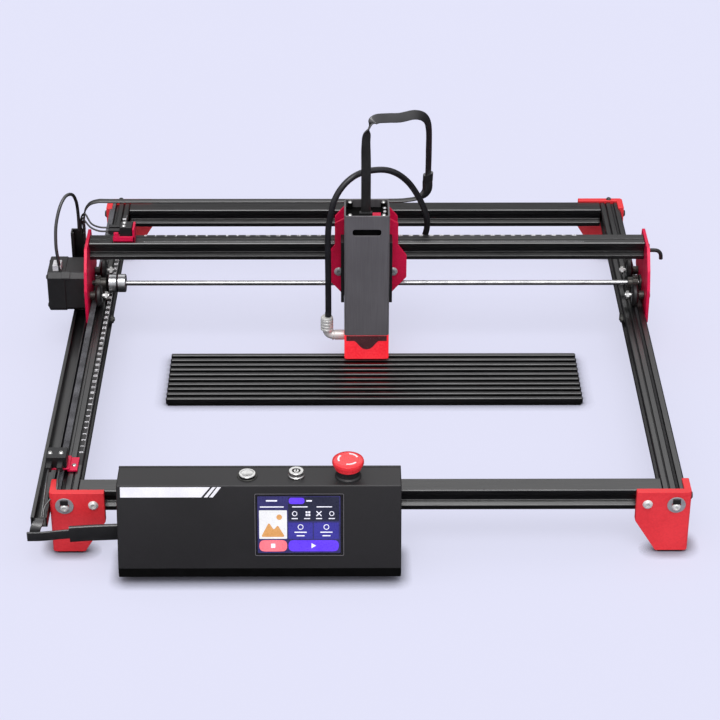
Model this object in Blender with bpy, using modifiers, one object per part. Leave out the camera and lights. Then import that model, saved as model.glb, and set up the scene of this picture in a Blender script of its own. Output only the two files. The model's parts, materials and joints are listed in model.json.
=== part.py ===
# Desktop laser cutter: slotted aluminium frame, moving gantry, laser head and console.
# Metres, +Z up, +Y away from the console. Places are measured from the frame's centre
# on the table, and the "laser_cutter" empty shifts that to the middle of the footprint.
from math import cos, pi, radians, sin, tan

import bmesh
import bpy
from mathutils import Vector

# Clearances
FIT = 0.0003              # between pieces that touch
FLANK_GAP = 0.00045       # sideways play of a wheel in its groove
BELT_GAP = 0.0004         # from a rail's wheel to the belt beside it
SHAFT_CLEAR = 0.0074      # from the drive shaft up to the carriage's lower wheels
CUT_PAST = 0.005          # how far a cutter reaches past what it cuts

# Frame
FRAME_WIDTH = 0.545       # over the corner brackets
FRAME_DEPTH = 0.562
PROFILE = 0.0185           # square section of every beam and rail
RAIL_BOTTOM = 0.0415
BRACKET_THICK = 0.005
BRACKET_WIDTH = 0.047
BRACKET_RISE = 0.002      # above the rail
BRACKET_FLANGE = 0.025
CHAMFER_WIDE = 0.0162
CHAMFER_TALL = 0.029
FOOT_THICK = 0.003
FOOT_LENGTH = 0.020
FOOT_INSET = 0.001
FOOT_EDGE = 0.0006
SLOT_MOUTH = 0.0126        # tee slots along the beams
SLOT_FLOOR = 0.0050
SLOT_DEPTH = 0.0046

# Wheels, axles and toothed belts
WHEEL_RADIUS = 0.011
WHEEL_WIDTH = 0.0062
WHEEL_RIM = 0.0013        # flat between the rim's two sloping flanks
WHEEL_DIP = 0.0014        # how far the rim stands in the groove
PIN_RADIUS = 0.0025
NUT_RADIUS = 0.0042
NUT_THICK = 0.0035
BELT_WIDTH = 0.0042
BELT_THICK = 0.0014

# Gantry
GANTRY_Y = 0.079          # where the gantry stands at rest
PLATE_THICK = 0.003
PLATE_GAP = 0.0035        # from a rail's outer face to the side plate
PLATE_RISE = 0.010       # above the cross beam
PLATE_MARGIN = 0.0195     # past the wheels' axles
PLATE_BELOW = 0.008       # under the lower axle
PLATE_NECK = 0.014        # half the plate's length at its top
PLATE_CORNER = 0.006
PLATE_FOOT = 0.012        # half its length at the bottom
PLATE_WAIST = 0.031       # half its length just above the brackets
PLATE_LIFT = 0.0008       # clear of the brackets' tops
PLATE_SADDLE = 0.024      # hollow of the rear edge, back from and above the shaft
FRONT_EAR = 0.030         # height of each end over the shaft
REAR_EAR = 0.010
EAR_STEP = 0.005
MOTOR_SIZE = 0.042
MOTOR_CHAMFER = 0.004
MOTOR_BORE = 0.016        # depth of the shaft in a motor
Y_MOTOR_LENGTH = 0.036
X_MOTOR_LENGTH = 0.033
SHAFT_RADIUS = 0.0025
COUPLING_RADIUS = 0.009
COUPLING_LENGTH = 0.017
COUPLING_INSET = 0.020    # from the side plate to the coupling
COUPLING_WAIST = 0.0012
COUPLING_NOTCH = 0.0015
BEARING_RADIUS = 0.008
BEARING_GAP = 0.0012      # from the pulley to the bearing
PULLEY_HUB = 0.0055
PULLEY_HUB_LENGTH = 0.005
X_BELT_INSET = 0.0015     # from the beam's rear face to the belt under it

# Carriage
CARRIAGE_X = -0.0012       # where the carriage stands at rest
CARRIAGE_GAP = 0.003      # from the beam to each carriage plate
CARRIAGE_RISE = 0.0355    # above the beam
CARRIAGE_DROP = 0.0295    # below the beam
CARRIAGE_MARGIN = 0.0109  # past the lower axles
CARRIAGE_NECK = 0.016     # half the plate's width at its top
CARRIAGE_SHOULDER = 0.0115  # past the upper axles
CARRIAGE_EAVE = 0.016     # heights below the top where its outline turns
CARRIAGE_WAIST = 0.026
CARRIAGE_SPREAD = 0.041
CARRIAGE_FOOT = 0.025     # half its width at the bottom
CARRIAGE_CORNER = 0.0165
TOP_WHEEL_X = 0.018
LOW_WHEEL_X = 0.0265
X_PULLEY_RADIUS = 0.007
X_SHAFT_PLAY = 0.002      # round the motor shaft in the rear plate
INLET_DROP = 0.0105       # hose inlet, below the beam
INLET_BEHIND = 0.0115     # from the rear carriage plate to the inlet's axis
INLET_GAP = 0.002         # from the motor to the inlet
INLET_SIZE = 0.010
INLET_BLOCK = 0.009
INLET_COLLET = 0.003      # collet past the block
COLLET_START = 0.0005

# Laser head and its mount
HEAD_WIDTH = 0.0418
HEAD_DEPTH = 0.032
HEAD_DROP = 0.0600        # from the beam down to the sleeve's bottom
HEAD_HEIGHT = 0.130
HEAD_WALL = 0.0018
HEAD_RECESS = 0.008
HEAD_DECK = 0.003
VENT_WIDTH = 0.024
VENT_HEIGHT = 0.004
VENT_DOWN = 0.0065         # from the deck to the vent
SHIELD_HEIGHT = 0.026
MOUNT_WALL = 0.0036
MOUNT_DROP = 0.0345       # from the beam down to the mount's bottom
MOUNT_HEIGHT = 0.066
MOUNT_ARM = 0.014
FIN_COUNT = 6
FIN_ABOVE = 0.042         # from the sleeve's bottom to the fins
FIN_WEB = 0.0012          # solid round the barrel
FIN_STAGGER = 0.0004
BARREL_RADIUS = 0.006
BARREL_BELOW = 0.010      # barrel past the sleeve's bottom
FAN_PIN = 0.0015
FAN_PIN_ROOT = 0.010
FAN_HUB = 0.006
FAN_DEPTH = 0.009
FAN_PLAY = 0.002          # over and under the rotor
FAN_HEADROOM = 0.010
FAN_GAP = 0.0017          # from the blades to the sleeve
FAN_BLADES = 5
BLADE_CHORD = 0.009
BLADE_THICK = 0.0012
BLADE_ROOT = 0.001        # how far a blade runs into its hub
BLADE_PITCH = radians(35)
ELBOW_OUT = 0.0158        # from the head's side to the air collet
ELBOW_DROP = 0.005        # from the sleeve's bottom to the elbow's arm
ELBOW_RADIUS = 0.004
ELBOW_SKIRT = 0.001
COLLET_RADIUS = 0.0057
COLLET_HEIGHT = 0.0205    # above the elbow's arm
HOSE_RADIUS = 0.003
CABLE_RADIUS = 0.002
LEAD_RADIUS = 0.0016
CONSOLE_LEAD_RADIUS = 0.0025

# Console
CONSOLE_INSET = 0.0130    # from the left bracket to the console
CONSOLE_WIDTH = 0.2368
CONSOLE_LOW = 0.008
CONSOLE_DEPTH = 0.0305    # at the top
CONSOLE_STRIP = 0.009     # upright strip under the leaning panel
CONSOLE_WALL = 0.002
PANEL_LEAN = radians(15.2)
SCREEN_WIDTH = 0.0745
SCREEN_HEIGHT = 0.052
SCREEN_THICK = 0.004
SCREEN_STAND = 0.0006     # proud of the panel
SCREEN_EDGE = 0.0004
SCREEN_ABOVE = 0.0098     # panel over and under the screen
SCREEN_BELOW = 0.0107
SCREEN_FROM_RIGHT = 0.0846
BUTTON_AHEAD = 0.016      # from the console's back to the buttons
BUTTON_REACH = 0.012      # stems under the console's top
BUTTON_EDGE = 0.0006
ESTOP_FROM_RIGHT = 0.0436
ESTOP_RADIUS = 0.0135
ESTOP_HEIGHT = 0.0115
ESTOP_STEM = 0.006
ESTOP_TRAVEL = 0.004
ESTOP_ROUND = 0.004       # height of the cap's rounded rim
ESTOP_CROWN = 0.005       # from the cap's side in to its flat crown
COLLAR_RADIUS = 0.0125
COLLAR_HEIGHT = 0.006
COLLAR_EDGE = 0.001
KEY_FROM_ESTOP = 0.0436
KEY_RADIUS = 0.0072
KEY_HEIGHT = 0.0052
KEY_STEM = 0.0052
KEY_SLOT_WIDTH = 0.001
KEY_SLOT_LENGTH = 0.007
KEY_SLOT_DEPTH = 0.002
POWER_FROM_KEY = 0.0413
POWER_RADIUS = 0.0072
POWER_HEIGHT = 0.0012
POWER_STEM = 0.004
POWER_TRAVEL = 0.0015

# Cable carrier, limit switches and work support
CARRIER_WIDTH = 0.014
CARRIER_HEIGHT = 0.010
CARRIER_WALL = 0.0015
CARRIER_GAP = 0.001       # from the side plate to the carrier
CARRIER_CLEAR = 0.0006    # from the carrier up to the motor
CARRIER_AHEAD = 0.015     # past the front brackets
CARRIER_BEND = 0.020
CARRIER_BEHIND = 0.011    # from the motor to the upright end
CARRIER_RISE = 0.066
SHEET = 0.002             # folded bracket sheet
SWITCH_EDGE = 0.0008
SWITCH_SETBACK = 0.011    # from the front bracket to the front switch's shelf
SHELF_LENGTH = 0.0205
SHELF_INSET = 0.0045      # from the rail's inner edge to the shelf's foot
SHELF_GAP = 0.0008        # from the foot to the belt
SHELF_REACH = 0.0188      # past the foot, over the belt
SHELF_MARGIN = 0.001
SWITCH_OVERHANG = 0.005   # ahead of the shelf
Y_SWITCH_WIDTH = 0.0175
Y_SWITCH_LENGTH = 0.017
Y_SWITCH_HEIGHT = 0.0117
STOP_INSET = 0.025        # from the side plate to the beam's switch
STOP_LENGTH = 0.022
STOP_HEIGHT = 0.013
STOP_MARGIN = 0.001
X_SWITCH_WIDTH = 0.012
X_SWITCH_SHORT = 0.004
SLAT_COUNT = 10
SLAT_PITCH = 0.0091
SLAT_CREST = 0.002        # flat along each ridge
SLAT_LENGTH = 0.400
SLAT_HEIGHT = 0.007
SLAT_BASE = 0.002
SLAT_X = 0.0065
SLAT_FRONT = -0.040

# Heights and faces that follow from these
RAIL_TOP = RAIL_BOTTOM + PROFILE
RAIL_OUT = FRAME_WIDTH / 2 - BRACKET_THICK
RAIL_IN = RAIL_OUT - PROFILE
RAIL_MID = RAIL_OUT - PROFILE / 2
RAIL_LENGTH = FRAME_DEPTH - 2 * (BRACKET_THICK + FIT)
BRACKET_TOP = RAIL_TOP + BRACKET_RISE
BEAM_Y = FRAME_DEPTH / 2 - BRACKET_THICK - FIT - PROFILE / 2
GROOVE_DEPTH = WHEEL_DIP + FIT
GROOVE_MOUTH = WHEEL_RIM + 2 * (WHEEL_DIP + FLANK_GAP)
GROOVE_X = RAIL_OUT - FIT - BELT_WIDTH - BELT_GAP - WHEEL_WIDTH / 2
AXLE_RISE = WHEEL_RADIUS - WHEEL_DIP
AXLE_Z = RAIL_TOP + AXLE_RISE
LOW_AXLE_Z = RAIL_BOTTOM - AXLE_RISE
BELT_X = RAIL_OUT - BELT_WIDTH / 2 - FIT
BELT_TOP = RAIL_TOP + FIT + BELT_THICK
PULLEY_RADIUS = AXLE_Z - BELT_TOP - FIT
PLATE_IN = RAIL_OUT + PLATE_GAP
PLATE_OUT = PLATE_IN + PLATE_THICK
WHEEL_SPREAD = MOTOR_SIZE / 2 + NUT_RADIUS + FIT
MOTOR_FACE = PLATE_OUT + FIT
MOTOR_END = MOTOR_FACE + Y_MOTOR_LENGTH
X_BEAM_BOTTOM = AXLE_Z + SHAFT_RADIUS + SHAFT_CLEAR + WHEEL_RADIUS + AXLE_RISE
X_BEAM_TOP = X_BEAM_BOTTOM + PROFILE
CARRIAGE_FRONT = GANTRY_Y - PROFILE / 2 - CARRIAGE_GAP - PLATE_THICK / 2
CARRIAGE_REAR = GANTRY_Y + PROFILE / 2 + CARRIAGE_GAP + PLATE_THICK / 2
X_BELT_Y = GANTRY_Y + PROFILE / 2 - BELT_WIDTH / 2 - X_BELT_INSET
X_BELT_LOW = X_BEAM_BOTTOM - FIT - BELT_THICK
X_PULLEY_Z = X_BELT_LOW - FIT - X_PULLEY_RADIUS
MOUNT_BACK = CARRIAGE_FRONT - PLATE_THICK / 2 - FIT
MOUNT_LOW = X_BEAM_BOTTOM - MOUNT_DROP
HEAD_BACK = MOUNT_BACK - MOUNT_WALL - FIT
HEAD_Y = HEAD_BACK - HEAD_DEPTH / 2
HEAD_LOW = X_BEAM_BOTTOM - HEAD_DROP
HEAD_TOP = HEAD_LOW + HEAD_HEIGHT
DECK_TOP = HEAD_TOP - HEAD_RECESS
DECK_LOW = DECK_TOP - HEAD_DECK
PIN_TOP = DECK_LOW - FAN_HEADROOM
FAN_TOP = PIN_TOP - FAN_PLAY
FAN_LOW = FAN_TOP - FAN_DEPTH
FIN_TOP = FAN_LOW - FAN_PLAY
FIN_LOW = HEAD_LOW + FIN_ABOVE
ELBOW_Z = HEAD_LOW - ELBOW_DROP
COLLET_TOP = ELBOW_Z + COLLET_HEIGHT
INLET_Z = X_BEAM_BOTTOM - INLET_DROP
PANEL_LENGTH = SCREEN_ABOVE + SCREEN_HEIGHT + SCREEN_BELOW
PANEL_LOW_Z = CONSOLE_LOW + CONSOLE_STRIP
CONSOLE_TOP = PANEL_LOW_Z + PANEL_LENGTH * cos(PANEL_LEAN)
CONSOLE_LEFT = BRACKET_WIDTH - FRAME_WIDTH / 2 + CONSOLE_INSET
CONSOLE_RIGHT = CONSOLE_LEFT + CONSOLE_WIDTH
CONSOLE_BACK = -(BEAM_Y + PROFILE / 2 + FIT)
PANEL_TOP_Y = CONSOLE_BACK - CONSOLE_DEPTH
PANEL_LOW_Y = PANEL_TOP_Y - PANEL_LENGTH * sin(PANEL_LEAN)
SCREEN_X = CONSOLE_RIGHT - SCREEN_FROM_RIGHT
BUTTON_Y = CONSOLE_BACK - BUTTON_AHEAD
ESTOP_X = CONSOLE_RIGHT - ESTOP_FROM_RIGHT
KEY_X = ESTOP_X - KEY_FROM_ESTOP
POWER_X = KEY_X - POWER_FROM_KEY
CARRIER_X = -(max(PLATE_OUT, FRAME_WIDTH / 2) + CARRIER_GAP + CARRIER_WIDTH / 2)
CARRIER_Z = AXLE_Z - MOTOR_SIZE / 2 - CARRIER_CLEAR - CARRIER_HEIGHT / 2
CARRIER_TOP = CARRIER_Z + CARRIER_RISE
CARRIER_FRONT = -FRAME_DEPTH / 2 - CARRIER_AHEAD
CARRIER_END_Y = GANTRY_Y + MOTOR_SIZE / 2 + CARRIER_BEHIND + CARRIER_HEIGHT / 2
ORIGIN_X = (PLATE_OUT + NUT_THICK - MOTOR_END) / 2
ORIGIN_Y = (FRAME_DEPTH / 2 + PANEL_LOW_Y) / 2

# Colour, roughness and metallic value of each finish
FINISHES = {
    "anodised": ((0.030, 0.030, 0.032), 0.42, 0.60),
    "red_enamel": ((0.660, 0.030, 0.038), 0.38, 0.10),
    "crimson": ((0.450, 0.000, 0.020), 0.40, 0.20),
    "rubber": ((0.012, 0.012, 0.012), 0.80, 0.00),
    "black_plastic": ((0.014, 0.014, 0.015), 0.55, 0.00),
    "gunmetal": ((0.070, 0.070, 0.073), 0.38, 0.70),
    "steel": ((0.580, 0.580, 0.580), 0.25, 1.00),
    "aluminium": ((0.420, 0.420, 0.430), 0.35, 1.00),
    "red_acrylic": ((0.850, 0.010, 0.025), 0.10, 0.00),
    "red_plastic": ((0.740, 0.010, 0.016), 0.30, 0.00),
    "glass": ((0.025, 0.023, 0.150), 0.08, 0.00),
}

for old in list(bpy.data.objects):
    bpy.data.objects.remove(old, do_unlink=True)
machine = bpy.data.collections.new("laser_cutter")
tools = bpy.data.collections.new("cutters")
bpy.context.scene.collection.children.link(machine)
bpy.context.scene.collection.children.link(tools)

materials = {}
for finish, (colour, roughness, metallic) in FINISHES.items():
    material = bpy.data.materials.new(finish)
    material.use_nodes = True
    shader = material.node_tree.nodes["Principled BSDF"]
    shader.inputs["Base Color"].default_value = (*colour, 1.0)
    shader.inputs["Roughness"].default_value = roughness
    shader.inputs["Metallic"].default_value = metallic
    materials[finish] = material


def empty(name, place, parent=None):
    frame = bpy.data.objects.new(name, None)
    machine.objects.link(frame)
    frame.parent = parent
    frame["place"] = place
    origin = Vector(parent["place"]) if parent else Vector((0, 0, 0))
    frame.location = Vector(place) - origin
    return frame


# The empties stand on the axes of the three slides.
base = empty("laser_cutter", (0, 0, 0))
base.location = (-ORIGIN_X, -ORIGIN_Y, 0)
gantry = empty("gantry", (0, GANTRY_Y, AXLE_Z), base)
carriage = empty("carriage", (CARRIAGE_X, GANTRY_Y, X_BEAM_TOP), gantry)
head = empty("head", (CARRIAGE_X, HEAD_Y, HEAD_LOW), carriage)

TURN = {"X": (0, pi / 2, 0), "Y": (-pi / 2, 0, 0), "Z": (0, 0, 0)}
LAY = {"YZ": (pi / 2, 0, pi / 2), "XZ": (pi / 2, 0, 0), "XY": (0, 0, 0)}


def add(name, data, place, finish, parent, turn=(0, 0, 0)):
    piece = bpy.data.objects.new(name, data)
    home = tools if finish is None else machine
    home.objects.link(piece)
    piece.parent = parent
    piece.location = Vector(place) - Vector(parent["place"])
    piece.rotation_euler = turn
    if finish is None:
        piece.hide_render = True
        piece.display_type = "WIRE"
    else:
        data.materials.append(materials[finish])
    return piece


def box(name, low, high, finish, parent=base, bevel=0.0, turn=(0, 0, 0)):
    mesh = bpy.data.meshes.new(name)
    shape = bmesh.new()
    bmesh.ops.create_cube(shape, size=1.0)
    size = Vector(high) - Vector(low)
    bmesh.ops.scale(shape, vec=size, verts=shape.verts)
    shape.to_mesh(mesh)
    shape.free()
    piece = add(name, mesh, (Vector(high) + Vector(low)) / 2, finish, parent, turn)
    if bevel:
        edge = piece.modifiers.new("edges", "BEVEL")
        edge.width = bevel
        edge.segments = 1
    return piece


def prism(name, plane, loops, place, depth, finish, parent=base, turn=None):
    outline = bpy.data.curves.new(name, "CURVE")
    outline.dimensions = "2D"
    outline.fill_mode = "BOTH"
    outline.extrude = depth / 2
    for loop in loops:
        spline = outline.splines.new("POLY")
        spline.points.add(len(loop) - 1)
        for point, (u, v) in zip(spline.points, loop):
            point.co = (u, v, 0, 1)
        spline.use_cyclic_u = True
    flat = bpy.data.objects.new(name + "_outline", outline)
    tools.objects.link(flat)
    graph = bpy.context.evaluated_depsgraph_get()
    mesh = bpy.data.meshes.new_from_object(flat.evaluated_get(graph))
    bpy.data.objects.remove(flat)
    mesh.name = name
    mesh.materials.clear()
    shape = bmesh.new()
    shape.from_mesh(mesh)
    bmesh.ops.remove_doubles(shape, verts=shape.verts, dist=0.000001)
    bmesh.ops.recalc_face_normals(shape, faces=shape.faces)
    shape.to_mesh(mesh)
    shape.free()
    return add(name, mesh, place, finish, parent, turn or LAY[plane])


def turned(name, axis, profile, place, finish, parent=base, steps=20, ring=False):
    # profile: (radius, height along the axis), from the top down its outer side
    mesh = bpy.data.meshes.new(name)
    count = len(profile)
    edges = [(i, i + 1) for i in range(count - 1)]
    if ring:
        edges.append((count - 1, 0))
    mesh.from_pydata([(r, 0, h) for r, h in profile], edges, [])
    piece = add(name, mesh, place, finish, parent, TURN[axis])
    screw = piece.modifiers.new("turn", "SCREW")
    screw.angle = 2 * pi
    screw.steps = steps
    screw.render_steps = steps
    screw.use_merge_vertices = True
    screw.merge_threshold = 0.00001
    return piece


def rod(name, axis, radius, low, high, place, finish, parent=base, steps=16):
    # A plain cylinder between two stations along its axis.
    profile = [(0, high), (radius, high), (radius, low), (0, low)]
    return turned(name, axis, profile, place, finish, parent, steps)


def boolean(piece, tool, operation):
    change = piece.modifiers.new(tool.name, "BOOLEAN")
    change.operation = operation
    change.object = tool
    change.solver = "EXACT"


def cut(piece, *cutters):
    for tool in cutters:
        boolean(piece, tool, "DIFFERENCE")


def join(piece, *pieces):
    for tool in pieces:
        boolean(piece, tool, "UNION")


def circle(u, v, radius, count=20):
    steps = [2 * pi * i / count for i in range(count)]
    return [(u + radius * cos(a), v + radius * sin(a)) for a in steps]


def rectangle(low_u, low_v, high_u, high_v):
    return [(low_u, low_v), (high_u, low_v), (high_u, high_v), (low_u, high_v)]


def slotted(slots):
    # Section of a profile bar about its middle: slots maps a side to
    # (centre, mouth, floor, depth), with the sides taken anticlockwise.
    half = PROFILE / 2
    loop = []
    for side, (du, dv) in {"low": (1, 0), "right": (0, 1), "top": (-1, 0), "left": (0, -1)}.items():
        nu, nv = dv, -du
        loop.append((half * (nu - du), half * (nv - dv)))
        if side in slots:
            centre, mouth, floor, depth = slots[side]
            for along, deep in ((-mouth, 0), (-floor, depth), (floor, depth), (mouth, 0)):
                step = centre * (du + dv) + along / 2
                reach = half - deep
                loop.append((nu * reach + du * step, nv * reach + dv * step))
    return loop


TEE = (0, SLOT_MOUTH, SLOT_FLOOR, SLOT_DEPTH)
GROOVE_FLOOR = GROOVE_MOUTH - 2 * GROOVE_DEPTH


def groove(centre):
    return (centre, GROOVE_MOUTH, GROOVE_FLOOR, GROOVE_DEPTH)


# Frame: two rails, two cross beams, four corner brackets on rubber feet
rail_z = RAIL_BOTTOM + PROFILE / 2
for side, sx in (("left", -1), ("right", 1)):
    track = groove(sx * (GROOVE_X - RAIL_MID))
    section = slotted({"top": track, "low": track, "left": TEE, "right": TEE})
    prism(side + "_rail", "XZ", [section], (sx * RAIL_MID, 0, rail_z), RAIL_LENGTH, "anodised")
    box(side + "_belt", (sx * BELT_X - BELT_WIDTH / 2, -RAIL_LENGTH / 2, RAIL_TOP + FIT),
        (sx * BELT_X + BELT_WIDTH / 2, RAIL_LENGTH / 2, BELT_TOP), "rubber")
for end, sy in (("front", -1), ("rear", 1)):
    section = slotted({"left": TEE, "right": TEE, "low": TEE})
    prism(end + "_beam", "YZ", [section], (0, sy * BEAM_Y, rail_z), 2 * (RAIL_IN - FIT), "anodised")

bracket_low = FOOT_THICK + FIT
bracket_mid = (bracket_low + BRACKET_TOP) / 2
for end, sy in (("front", -1), ("rear", 1)):
    for side, sx in (("left", -1), ("right", 1)):
        name = end + "_" + side
        out_x = FRAME_WIDTH / 2
        out_y = FRAME_DEPTH / 2
        ell = [(out_x, out_y), (out_x - BRACKET_WIDTH, out_y),
               (out_x - BRACKET_WIDTH, out_y - BRACKET_THICK),
               (RAIL_OUT + FIT, out_y - BRACKET_THICK),
               (RAIL_OUT + FIT, out_y - BRACKET_FLANGE), (out_x, out_y - BRACKET_FLANGE)]
        ell = [(sx * x, sy * y) for x, y in ell]
        bracket = prism("corner_" + name, "XY", [ell], (0, 0, bracket_mid),
                        BRACKET_TOP - bracket_low, "red_enamel")
        inner = out_x - BRACKET_WIDTH
        slope = CHAMFER_TALL / CHAMFER_WIDE
        wedge = [(inner - CUT_PAST, bracket_low + CHAMFER_TALL + CUT_PAST * slope),
                 (inner - CUT_PAST, bracket_low - CUT_PAST),
                 (inner + CHAMFER_WIDE + CUT_PAST / slope, bracket_low - CUT_PAST)]
        wedge = [(sx * x, z) for x, z in wedge]
        cut(bracket, prism("chamfer_" + name, "XZ", [wedge], (0, sy * out_y, 0),
                           4 * BRACKET_THICK, None))
        foot_in = inner + CHAMFER_WIDE + FOOT_INSET
        low_x, high_x = sorted((sx * foot_in, sx * (out_x - FOOT_INSET)))
        low_y, high_y = sorted((sy * (out_y - FOOT_INSET), sy * (out_y - FOOT_INSET - FOOT_LENGTH)))
        box("foot_" + name, (low_x, low_y, 0), (high_x, high_y, FOOT_THICK), "rubber", bevel=FOOT_EDGE)


# Wheels on fixed axles
def wheel(name, axis, place, parent):
    half = WHEEL_WIDTH / 2
    rim = WHEEL_RIM / 2
    hub = WHEEL_RADIUS - (half - rim)
    bore = PIN_RADIUS + FIT
    profile = [(bore, half), (hub, half), (WHEEL_RADIUS, rim), (WHEEL_RADIUS, -rim),
               (hub, -half), (bore, -half)]
    return turned(name, axis, profile, place, "black_plastic", parent, 24, ring=True)


def axle(name, axis, start, boss, end, collar, place, parent):
    # Spacer from the plate, a pin through the wheel, then a nut or collar to its end.
    stations = [(0, end), (NUT_RADIUS, end), (NUT_RADIUS, collar), (PIN_RADIUS, collar),
                (PIN_RADIUS, boss), (NUT_RADIUS, boss), (NUT_RADIUS, start), (0, start)]
    if end < start:
        stations = stations[::-1]
    return turned(name, axis, stations, place, None, parent, 12)


# Gantry: side plates with their axles, cross beam, drive shaft and motor
half_wheel = WHEEL_WIDTH / 2 + FIT
axles = {"front_wheel": (-WHEEL_SPREAD, AXLE_Z), "rear_wheel": (WHEEL_SPREAD, AXLE_Z),
         "under_wheel": (0, LOW_AXLE_Z)}
plate_top = X_BEAM_TOP + PLATE_RISE
plate_low = LOW_AXLE_Z - PLATE_BELOW
clear_z = BRACKET_TOP + PLATE_LIFT
reach = WHEEL_SPREAD + PLATE_MARGIN
edge = [(-PLATE_NECK, plate_top), (-PLATE_NECK - PLATE_CORNER, plate_top - PLATE_CORNER),
        (EAR_STEP - reach, AXLE_Z + FRONT_EAR), (-reach, AXLE_Z + FRONT_EAR / 2),
        (-reach, clear_z + EAR_STEP), (-PLATE_WAIST, clear_z), (-PLATE_FOOT, plate_low),
        (PLATE_FOOT, plate_low), (PLATE_WAIST, clear_z), (reach, clear_z + EAR_STEP),
        (reach, AXLE_Z + REAR_EAR), (PLATE_SADDLE, AXLE_Z + PLATE_SADDLE),
        (PLATE_NECK + PLATE_CORNER, plate_top - PLATE_CORNER), (PLATE_NECK, plate_top)]
for side, sx in (("left", -1), ("right", 1)):
    shaft_hole = circle(0, AXLE_Z, COUPLING_RADIUS if sx < 0 else SHAFT_RADIUS + FIT)
    plate = prism(side + "_plate", "YZ", [edge, shaft_hole],
                  (sx * (PLATE_IN + PLATE_THICK / 2), GANTRY_Y, 0), PLATE_THICK, "crimson", gantry)
    for spot, (dy, z) in axles.items():
        name = side + "_" + spot
        place = (sx * GROOVE_X, GANTRY_Y + dy, z)
        wheel(name, "X", place, gantry)
        start = sx * (PLATE_OUT + NUT_THICK - GROOVE_X)
        collar = -sx * half_wheel
        join(plate, axle("axle_" + name, "X", start, sx * half_wheel,
                         collar - sx * NUT_THICK, collar, place, gantry))
    if sx > 0:
        bore = SHAFT_RADIUS + FIT
        inner = RAIL_OUT + BEARING_GAP
        outer = PLATE_IN + PLATE_THICK / 2
        ring = [(bore, outer), (BEARING_RADIUS, outer), (BEARING_RADIUS, inner), (bore, inner)]
        join(plate, turned("bearing", "X", ring, (0, GANTRY_Y, AXLE_Z), None, gantry, ring=True))

section = slotted({"top": groove(0), "low": groove(0), "left": TEE, "right": TEE})
prism("x_beam", "YZ", [section], (0, GANTRY_Y, X_BEAM_BOTTOM + PROFILE / 2),
      2 * (PLATE_IN - FIT), "anodised", gantry)
box("x_belt", (-PLATE_IN + FIT, X_BELT_Y - BELT_WIDTH / 2, X_BELT_LOW),
    (PLATE_IN - FIT, X_BELT_Y + BELT_WIDTH / 2, X_BELT_LOW + BELT_THICK), "rubber", gantry)


def motor(name, axis, place, low, high, parent):
    body = box(name, low, high, "black_plastic", parent, bevel=MOTOR_CHAMFER)
    cut(body, rod(name + "_bore", axis, SHAFT_RADIUS + FIT, -MOTOR_BORE, MOTOR_BORE, place, None, parent))


half_motor = MOTOR_SIZE / 2
motor("y_motor", "X", (-MOTOR_FACE, GANTRY_Y, AXLE_Z),
      (-MOTOR_END, GANTRY_Y - half_motor, AXLE_Z - half_motor),
      (-MOTOR_FACE, GANTRY_Y + half_motor, AXLE_Z + half_motor), gantry)

# Turning pieces on the gantry's drive axis
coupling_left = -(PLATE_IN - COUPLING_INSET)
coupling_mid = coupling_left + COUPLING_LENGTH / 2
half_belt = BELT_WIDTH / 2 + FIT
axis_at = (0, GANTRY_Y, AXLE_Z)
seat_end = -MOTOR_FACE - MOTOR_BORE + FIT
turned("motor_pulley", "X",
       [(0, coupling_mid - FIT), (SHAFT_RADIUS, coupling_mid - FIT), (SHAFT_RADIUS, half_belt - BELT_X),
        (PULLEY_RADIUS, half_belt - BELT_X), (PULLEY_RADIUS, -half_belt - BELT_X),
        (SHAFT_RADIUS, -half_belt - BELT_X), (SHAFT_RADIUS, seat_end), (0, seat_end)],
       axis_at, "aluminium", gantry)
half_grip = COUPLING_LENGTH / 2
waist = COUPLING_WAIST / 2
neck = COUPLING_RADIUS - COUPLING_NOTCH
bore = SHAFT_RADIUS + FIT
turned("shaft_coupling", "X",
       [(bore, half_grip), (COUPLING_RADIUS, half_grip), (COUPLING_RADIUS, waist), (neck, waist),
        (neck, -waist), (COUPLING_RADIUS, -waist), (COUPLING_RADIUS, -half_grip), (bore, -half_grip)],
       (coupling_mid, GANTRY_Y, AXLE_Z), "steel", gantry, 24, ring=True)
rod("drive_shaft", "X", SHAFT_RADIUS, coupling_mid + FIT, PLATE_OUT - FIT, axis_at, "steel", gantry)
hub_end = -half_belt - PULLEY_HUB_LENGTH
turned("right_pulley", "X",
       [(bore, half_belt), (PULLEY_RADIUS, half_belt), (PULLEY_RADIUS, -half_belt), (PULLEY_HUB, -half_belt),
        (PULLEY_HUB, hub_end), (bore, hub_end)], (BELT_X, GANTRY_Y, AXLE_Z), "aluminium", gantry, ring=True)

# Limit switch on the gantry's cross beam
stop_left = STOP_INSET - PLATE_IN
stop_right = stop_left + STOP_LENGTH
stop_low = X_BEAM_TOP + FIT
stop_top = X_BEAM_TOP + STOP_HEIGHT
fold = [(stop_left, stop_low), (stop_right, stop_low), (stop_right, stop_low + SHEET),
        (stop_left + SHEET, stop_low + SHEET), (stop_left + SHEET, stop_top), (stop_left, stop_top)]
prism("x_switch_bracket", "XZ", [fold], (0, GANTRY_Y, 0), PROFILE - 2 * STOP_MARGIN, "red_enamel", gantry)
box("x_limit_switch", (stop_left + SHEET + FIT, GANTRY_Y - X_SWITCH_WIDTH / 2, stop_low + SHEET + FIT),
    (stop_right - X_SWITCH_SHORT, GANTRY_Y + X_SWITCH_WIDTH / 2, stop_top - STOP_MARGIN),
    "black_plastic", gantry, bevel=SWITCH_EDGE)

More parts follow.
